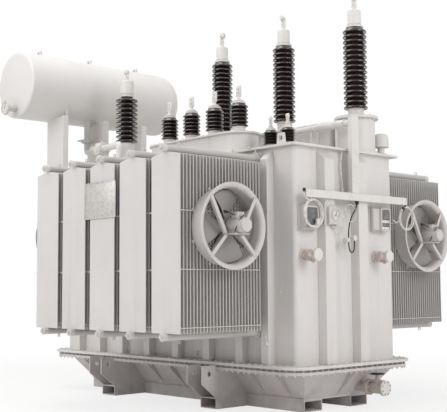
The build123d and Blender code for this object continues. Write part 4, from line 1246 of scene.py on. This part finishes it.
bezel = [(60, 0), (76, 0), (80, 4), (80, 16), (74, 22), (66, 22), (62, 16), (60, 12), (60, 0)]
cases.append(turned_at(at(rib_x + 48, -404, 2430), bezel, 48, outward))
gland_places = [(rib_x + 30, -430, 2290, 22), (rib_x + 30, -400, 2288, 22), (rib_x + 30, -372, 2292, 22)]
gland_places += [(wall_x + 40, y, 2270, 26) for y in (530, 590, 650)]
for x, y, z, drop in gland_places:
    gland = [(10, -drop), (13, 2 - drop), (13, -6), (17, -4), (17, 6), (12, 8)]
    cases.append(turned_at(at(x, y, z), gland, 6))
hand_over(cases, "instrument_cases", case_paint, replaces=["gauge_boxes"])

# %% [markdown]
# Behind the glass of the left and right cases is a dark face. The middle dial is white, with ticks and a
# pointer. The right case also carries two blank white labels.

# %% Instrument faces
panes = [
    plate(wall_x + 105, wall_x + 108, -854, -666, 2272, 2506, 1),
    plate(wall_x + 87, wall_x + 90, 618, 774, 2424, 2548, 1),
    plate(wall_x + 87, wall_x + 90, 618, 774, 2332, 2366, 1),
]
hand_over(panes, "instrument_glass", glass)
near_face = plate(wall_x + 99, wall_x + 103, -855, -665, 2271, 2507, 1)
hand_over(near_face, "near_window_face", blade_paint)
far_face = plate(wall_x + 81, wall_x + 85, 617, 775, 2283, 2551, 1)
hand_over(far_face, "far_window_face", gunmetal)
dials = [
    plate(wall_x + 85, wall_x + 90, 620, 772, 2374, 2414, 1),
    plate(wall_x + 85, wall_x + 90, 620, 772, 2286, 2324, 1),
    turned_at(at(rib_x + 54, -404, 2430), [(62, 0), (62, 3), (58, 4), (6, 4.5)], 40, outward),
]
hand_over(dials, "instrument_dials", white_sheath)
pointer = tick_marks(at(rib_x + 60, -404, 2430), Vector((0, 1, 0)), 54, 8)
pointer += [
    bar(at(rib_x + 61, -412, 2412), at(rib_x + 61, -388, 2474), 2.2, 8),
    turned_at(at(rib_x + 59, -404, 2430), [(7, 0), (7, 3), (4, 5)], 16, outward)
]
hand_over(pointer, "instrument_pointer", black_rubber)

# %% [markdown]
# The instruments read through thin armoured tubes. They are stiff, fixed at both ends, and their spare
# length is tied in a coil. A coil is one NURBS line that goes round once or a little more, at its own
# radius, so that the turns do not quite match.

# %% Coiled instrument tubes
def coil_points(x, y, z, radius, turns, start, slack=0.0, depth=6.0):
    """Control points of a coil that hangs flat against the wall. Its radius drifts by the slack."""
    points = []
    per_turn = 14
    for i in range(int(turns * per_turn) + 1):
        a = math.radians(start) - 2 * math.pi * i / per_turn
        turn = i / per_turn
        r = radius * (1.03 + slack * math.sin(2.3 * turn + 0.6))
        points.append((x + depth * math.sin(2.1 * turn), y + r * math.cos(a), z + r * 1.02 * math.sin(a)))
    return points


lead_x = rib_x + 14
near_hank = []
for i, radius in enumerate((152, 160, 168, 160)):
    x = lead_x + 4 + 13 * (i % 2) + 9 * (i // 2)
    near_hank.append(tube(coil_points(x, -790 + 4 * i, 2440 - 3 * i, radius, 1.02, 110 + 9 * i, 0.02), 7.5))
rise = [
    (lead_x + 10, -856, 2590), (lead_x + 16, -920, 2616), (lead_x + 22, -952, 2650), (lead_x + 22, -950, 2690)
]
near_hank += [
    tube([(lead_x + 10, -800, 2596), *rise, (lead_x + 22, -948, 2702)], 9),
    tube([(lead_x + 12, -905, 2360), (lead_x + 10, -930, 2450), (lead_x + 8, -900, 2560), *rise], 8),
    plate(lead_x - 4, lead_x + 34, -730, -676, 2296, 2372, 10)
]
hand_over(near_hank, "near_lead_coil", white_sheath, replaces=["gauge_leads"])
far_hank = []
for i, radius in enumerate((140, 150, 145)):
    x = lead_x + 4 + 12 * i
    far_hank.append(tube(coil_points(x, 1055 + 3 * i, 2455 - 4 * i, radius, 1.02, 95 - 12 * i, 0.03), 7))
far_hank += [
    tube([
        (lead_x + 16, 1040, 2602), (lead_x + 18, 1058, 2630), (lead_x + 16, 1050, 2668),
        (lead_x + 6, 1036, 2680)
    ], 8),
    tube([
        (lead_x - 4, 800, 2420), (lead_x + 4, 850, 2380), (lead_x + 10, 905, 2400), (lead_x + 14, 930, 2470)
    ], 7)
]
hand_over(far_hank, "far_lead_coil", white_sheath)
loops = [
    tube(coil_points(rib_x + 26, -92, 2466, 104, 1.1, 200, 0.04), 5),
    tube([
        (rib_x + 30, -400, 2290), (rib_x + 32, -380, 2200), (rib_x + 34, -330, 2160),
        (rib_x + 34, -262, 2190), (rib_x + 34, -226, 2262), (rib_x + 34, -268, 2318),
        (rib_x + 32, -340, 2290), (rib_x + 34, -350, 2210), (rib_x + 34, -300, 2150),
        (rib_x + 34, -240, 2146)
    ], 5),
    tube([
        (rib_x + 30, -372, 2292), (rib_x + 36, -330, 2380), (rib_x + 34, -262, 2400), (rib_x + 30, -196, 2430)
    ], 5)
]
hand_over(loops, "sensor_loops", white_sheath)

# %% [markdown]
# Black glands carry the wires out of the tray, and one black cable drops to the sensor pocket in the wall.

# %% Glands and the sensor cable
black = []
for y, z, r in ((-946, 2712, 15), (38, 2606, 20), (1046, 2690, 17)):
    gland = [(r * 0.8, -26), (r, -22), (r, -6), (r * 1.2, -4), (r * 1.2, 14), (r, 18)]
    black.append(turned_at(at(rib_x + 34, y, z), gland, 8))
plug = [(16, -26), (24, -14), (26, 0), (22, 18), (12, 26)]
black += [
    turned_at(at(rib_x + 40, 984, 2570), plug, 12, (0, 0.5, 1)),
    tube([
        (rib_x + 34, 1046, 2680), (rib_x + 38, 1064, 2640), (rib_x + 40, 1020, 2600), (rib_x + 40, 990, 2575)
    ], 9),
    tube([
        (rib_x + 34, 34, 2596), (rib_x + 34, 26, 2540), (rib_x + 30, -60, 2440), (rib_x + 26, -112, 2330),
        (rib_x + 24, -130, 2200), (rib_x + 24, -128, 2060), (rib_x + 26, -112, 1990), (rib_x + 26, -70, 1964),
        (rib_x + 26, -30, 1994), (rib_x + 26, -18, 2060), (rib_x + 26, -22, 2120)
    ], 8)
]
hand_over(black, "wire_glands", black_rubber)
socket = [(34, 0), (36, 3), (36, 14), (26, 18), (26, 40), (34, 44), (34, 60), (20, 66)]
cone = [(12, 0), (20, 10), (38, 90), (40, 96), (30, 100)]
pocket = [
    turned_at(at(rib_x, -40, 2152), socket, 24, outward),
    turned_at(at(rib_x + 30, -120, 2140), cone, 24, (0.1, -1, -0.35))
]
hand_over(pocket, "sensor_pocket", duct_paint)

# %% [markdown]
# Two sampling valves stick out of the end wall: wall flange, square body with a packing gland, outlet
# flange and an eight-sided blank. The castings are a warm bare metal, the blanks are painted.

# %% Sampling valves
castings, blanks = [], []
inner = [
    (34, 0), (76, 0), (78, 3), (78, 19), (75, 22), (40, 24), (36, 30), (36, 84), (40, 88), (74, 90), (76, 93),
    (76, 109), (73, 112), (40, 113)
]
neck = [(34, 0), (34, 26), (46, 30), (46, 40), (30, 44), (26, 60), (14, 64)]
drain = [(16, 0), (16, 30), (24, 34), (24, 52), (14, 58)]
outer = [(40, 202), (74, 204), (76, 207), (76, 222), (74, 226), (40, 227)]
for y in (-805, 570):
    root = at(wall_x, y, 1930)
    circle = [(y + u, 1930 + v) for u, v in circle_of(4, 60, 0.25)]
    castings += [
        turned_at(root, inner, 40, outward),
        plate(wall_x + 112, wall_x + 204, y - 46, y + 46, 1886, 1974, 14, 3),
        turned_at(at(wall_x + 158, y - 40, 1930), neck, 24, near_way),
        turned_at(at(wall_x + 158, y, 1892), drain, 12, (0, 0, -1)),
        turned_at(root, outer, 40, outward),
        screws_on(wall_x + 22, circle, 9),
        copies(bolt(8, 4), [pose(at(wall_x + 90, u, v), (-1, 0, 0)) for u, v in circle])
    ]
    cover = [(70, 226), (80, 229), (80, 246), (74, 250), (30, 250)]
    blanks.append(turned_at(root, cover, 8, outward, 22.5))
hand_over(castings, "sampling_valve_castings", cast_tan, replaces=["sampling_valves"])
hand_over(blanks, "sampling_valve_blanks", duct_paint)

# %% [markdown]
# The drain valve at the foot of the tank ends in a bolted blank. Its bonnet carries a stem and a black
# handwheel with a wavy rim, which turns with the stem.

# %% Drain valve
stem_x, drain_y, drain_z = 2645, 350, 262
drain_axis = at(0, drain_y, drain_z)
stem_foot = at(stem_x, drain_y, drain_z)
body = [
    (60, 2262), (60, 2478), (66, 2480), (94, 2480), (98, 2484), (98, 2503), (95, 2506), (95, 2508),
    (98, 2511), (98, 2532), (94, 2536), (64, 2538), (62, 2560), (72, 2592), (76, 2620), (76, 2670),
    (72, 2698), (64, 2726), (64, 2733), (94, 2734), (98, 2738), (98, 2757), (95, 2760), (60, 2761)
]
cast = [turned_at(drain_axis, body, 56, outward)]
for x, towards in ((2480, -1), (2536, 1), (2734, -1)):
    heads = [pose(at(x, drain_y + u, drain_z + v), (towards, 0, 0)) for u, v in circle_of(8, 80)]
    cast.append(copies(bolt(11, 5), heads))
bonnet = [
    (48, 60), (48, 84), (58, 88), (58, 98), (46, 102), (30, 106), (24, 120), (22, 140), (28, 144), (28, 156),
    (13, 160)
]
stem = [(12, 150), (12, 190), (10, 194), (10, 206), (6, 210)]
yoke_bolts = [pose(at(stem_x + u, drain_y + v, drain_z + 98)) for u, v in circle_of(4, 50, 0.25)]
cast += [turned_at(stem_foot, bonnet, 32), turned_at(stem_foot, stem, 16), copies(bolt(7), yoke_bolts)]
hand_over(cast, "drain_valve_casting", valve_paint, replaces=["drain_valve"])
blank = [(60, 2762), (94, 2762), (98, 2765), (98, 2783), (94, 2787), (30, 2788)]
hand_over(turned_at(drain_axis, blank, 56, outward), "drain_blank_flange", duct_paint)
heads = [pose(at(2786, drain_y + u, drain_z + v), outward) for u, v in circle_of(8, 78)]
studs = copies(lathe([(11, 0), (11, 2.2), (6, 3.4)], 6), heads)
hand_over(studs, "drain_blank_bolts", gunmetal)


def handwheel():
    """A rim that swells eight times round, a bored hub and four bent spokes."""
    rim = wire_ring(88, 8, 64, 12)
    for vertex in rim.data.vertices:
        swell = 1 + 0.035 * math.cos(8 * math.atan2(vertex.co.y, vertex.co.x))
        vertex.co.x *= swell
        vertex.co.y *= swell
    hub = lathe([(12.5, -12), (22, -12), (24, -9), (24, 9), (22, 12), (12.5, 12), (12.5, -12)], 24)
    spoke = local_tube([(20, 0, -4), (44, 0, -6), (66, 0, -2), (86, 0, 0)], 5.5)
    spokes = copies(spoke, [Matrix.Rotation(math.radians(90 * i + 45), 4, "Z") for i in range(4)])
    return joined([rim, hub, spokes])


wheel = handwheel()
wheel.data.transform(pose(at(stem_x, drain_y, 436)))
hand_over(wheel, "drain_wheel_rim", wheel_enamel, "drain_wheel", ["drain_handwheel"])

# %% [markdown]
# On the cover a conduit runs to the tray's riser, held by clips on posts. A relief valve stands at the
# far corner.

# %% Cover conduit and relief valve
run_y, run_z = 40, 3650
sleeve = [(40, 0), (50, 2), (52, 8), (52, 492), (50, 498), (40, 500)]
conduit = [
    bar(at(1480, run_y, run_z), at(2590, run_y, run_z), 38, 24),
    turned_at(at(1940, run_y, run_z), sleeve, 32, outward),
]
for x, radius in ((1560, 44), (1860, 44), (2300, 58)):
    strap = [(radius - 5, -16), (radius, -16), (radius, 16), (radius - 5, 16), (radius - 5, -16)]
    screws = [pose(at(x + u, run_y + v, 3312)) for u in (-32, 32) for v in (-32, 32)]
    conduit += [
        bar(at(x, run_y, 3300), at(x, run_y, run_z), 19, 16, 0.1),
        plate(x - 45, x + 45, run_y - 45, run_y + 45, 3300, 3312, 2),
        turned_at(at(x, run_y, run_z), strap, 28, outward),
        copies(bolt(9), screws)
    ]
conduit.append(tube([
    (1480, run_y, run_z), (1440, run_y, run_z), (1400, run_y - 20, 3610), (1392, run_y - 30, 3500),
    (1392, run_y - 30, 3310)
], 30, 16))
hand_over(conduit, "cover_conduit_run", duct_paint, replaces=["cover_conduit"])
relief = turned_at(at(2400, 830, 0), [
    (75, 3300), (75, 3322), (72, 3325), (50, 3327), (48, 3332), (48, 3408), (60, 3410), (100, 3410),
    (105, 3415), (105, 3530), (101, 3552), (90, 3574), (72, 3588), (44, 3596), (16, 3599), (6, 3600)
], 48)
relief_bolts = copies(bolt(9), bolts_round(2400, 830, 3325, 63, 8))
hand_over([relief, relief_bolts], "relief_valve_body", duct_paint, replaces=["relief_valve"])

# %% [markdown]
# Small fittings finish the shell: earthing pads, cable clips on the tray, two slim cables in the rib's
# shadow and the bolts of the long box's lid.

# %% Small fittings
pads = [plate(2188, 2226, -952, -944, 1462, 1504, 2), plate(2160, 2200, 945, 952, 640, 690, 2)]
for x, y, z, side in ((2207, -952, 1483, -1), (2180, 952, 665, 1)):
    pads.append(turned_at(at(x, y, z), [(7, 0), (7, 16), (4, 18)], 10, (0, side, 0)))
for x in (-900, 600):
    for low, high in ((-957, -945), (945, 957)):
        pads.append(plate(x, x + 60, low, high, 640, 700, 3))
hand_over(pads, "earth_pads", duct_paint)
clip_lines = (-860, -480, -140, 320, 700, 960)
clips = [plate(rib_x + 58, rib_x + 63, y - 9, y + 9, 2619, 2728, 2) for y in clip_lines]
clips += [plate(rib_x + 58, rib_x + 63, -84, 68, z - 9, z + 9, 2) for z in (2860, 3060, 3240)]
clips.append(plate(rib_x - 2, rib_x + 62, -84, 68, 3716, 3724, 2))
hand_over(clips, "tray_clips", duct_paint)
wires = [
    tube([
        (wall_x + 40, -120, 3270), (wall_x + 34, -128, 3100), (wall_x + 40, -118, 2900),
        (wall_x + 46, -112, 2722)
    ], 5),
    tube([
        (wall_x + 40, -96, 3270), (wall_x + 36, -150, 3060), (wall_x + 42, -104, 2860),
        (wall_x + 48, -94, 2722)
    ], 4),
]
hand_over(wires, "recess_cables", white_sheath)
lid_places = [(-1010 + 104 * i, y) for i in range(29) for y in (205, 795)]
lid_bolts = copies(bolt(12), [pose(at(x, y, 3740)) for x, y in lid_places])
hand_over(lid_bolts, "hv_box_bolts", tank_paint)
print("instruments, valves and small fittings done")

# %% [markdown]
# The stage is a pale floor under a plain bright sky, with wide soft lamps. The camera, a mirror or a
# glass sees the sky as white. The floor keeps the shadow near the object and fades to the same white
# further out, so there is no horizon. None of this adds light to the object.

# %% Floor
def seen_directly(finish):
    """1 for what the camera sees, also in a reflection or through glass."""
    path = finish.add("LightPath")
    names = ("Is Camera Ray", "Is Glossy Ray", "Is Transmission Ray")
    rays = [Signal(finish, path.socket.node.outputs[name]) for name in names]
    return finish.maths("MAXIMUM", finish.maths("MAXIMUM", rays[0], rays[1]), rays[2])


def backdrop():
    f = Finish("studio_floor")
    shade = f.between(f.noise(0.4, 2.0), 0.3, 0.7)
    f.set(base_color=f.mix(shade, "f6f5f4", "f2f1f0"), roughness=0.85)
    far = f.between(f.add("VectorMath", {"operation": "LENGTH"}, {0: f.place}, output=1), 4.5, 10.0)
    share = f.clamp(far * 0.26 + 0.74) * seen_directly(f)
    white = f.add("Emission", None, {"Color": (1, 1, 1, 1), "Strength": 1.0})
    blend = f.add("MixShader", None, {0: share, 1: Signal(f, f.shader.outputs[0]), 2: white})
    f.tree.links.new(blend.socket, f.tree.nodes["Material Output"].inputs[0])
    return f.material


bpy.ops.object.select_all(action="DESELECT")
bpy.ops.mesh.primitive_plane_add(size=260, location=(0, 0, -mm(2)))
floor = bpy.context.object
floor.name = "studio_floor"
dress(floor, backdrop())
floor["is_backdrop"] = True

# %% Sky
world = bpy.data.worlds.new("studio_sky")
bpy.context.scene.world = world
world.use_nodes = True
sky = Finish("studio_sky", world.node_tree)
light = sky.tree.nodes["Background"]
light.inputs["Color"].default_value = colour("fbfaf9")
light.inputs["Strength"].default_value = 0.68
white_sky = sky.add("Background", None, {"Color": (1, 1, 1, 1), "Strength": 1.0})
blend = sky.add("MixShader", None, {0: seen_directly(sky), 1: Signal(sky, light.outputs[0]), 2: white_sky})
sky.tree.links.new(blend.socket, sky.tree.nodes["World Output"].inputs[0])


# %% Lamps
def lamp(name, place, aim, width, power):
    bpy.ops.object.light_add(type="AREA", location=place)
    made = bpy.context.object
    made.name = name
    made.data.size = width
    made.data.energy = power
    made.rotation_euler = (Vector(aim) - Vector(place)).to_track_quat("-Z", "Y").to_euler()
    made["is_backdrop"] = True


target = (middle_x, 0, 2.4)
lamp("key_lamp", (-2.0, -13.5, 8.0), target, 7.0, 540)
lamp("end_lamp", (17.5, 0.5, 9.0), target, 7.0, 860)
lamp("top_lamp", (-1.5, -2.5, 13.0), target, 7.0, 520)
bpy.context.scene.view_settings.view_transform = "Standard"

# %% [markdown]
# The camera's place, angle and lens were worked out from straight edges in the photograph.

# %% Camera
bpy.ops.object.camera_add(location=(10.944, -9.356, 1.547))
camera = bpy.context.object
turn = Matrix.Rotation(math.radians(47.625), 4, "Z")
tilt = Matrix.Rotation(math.radians(90 + 4.861), 4, "X")
roll = Matrix.Rotation(math.radians(-0.365), 4, "Z")
camera.rotation_euler = (turn @ tilt @ roll).to_euler()
camera.data.sensor_width = 36
camera.data.lens = 36 * 953.73 / 447
camera.data.clip_end = 400
bpy.context.scene.camera = camera

# %% Finish
low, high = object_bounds()
sizes = {"cad": [list(cad_low), list(cad_high)], "visual": [list(low), list(high)]}
print("visual box", [round(v, 3) for v in (*low, *high)])
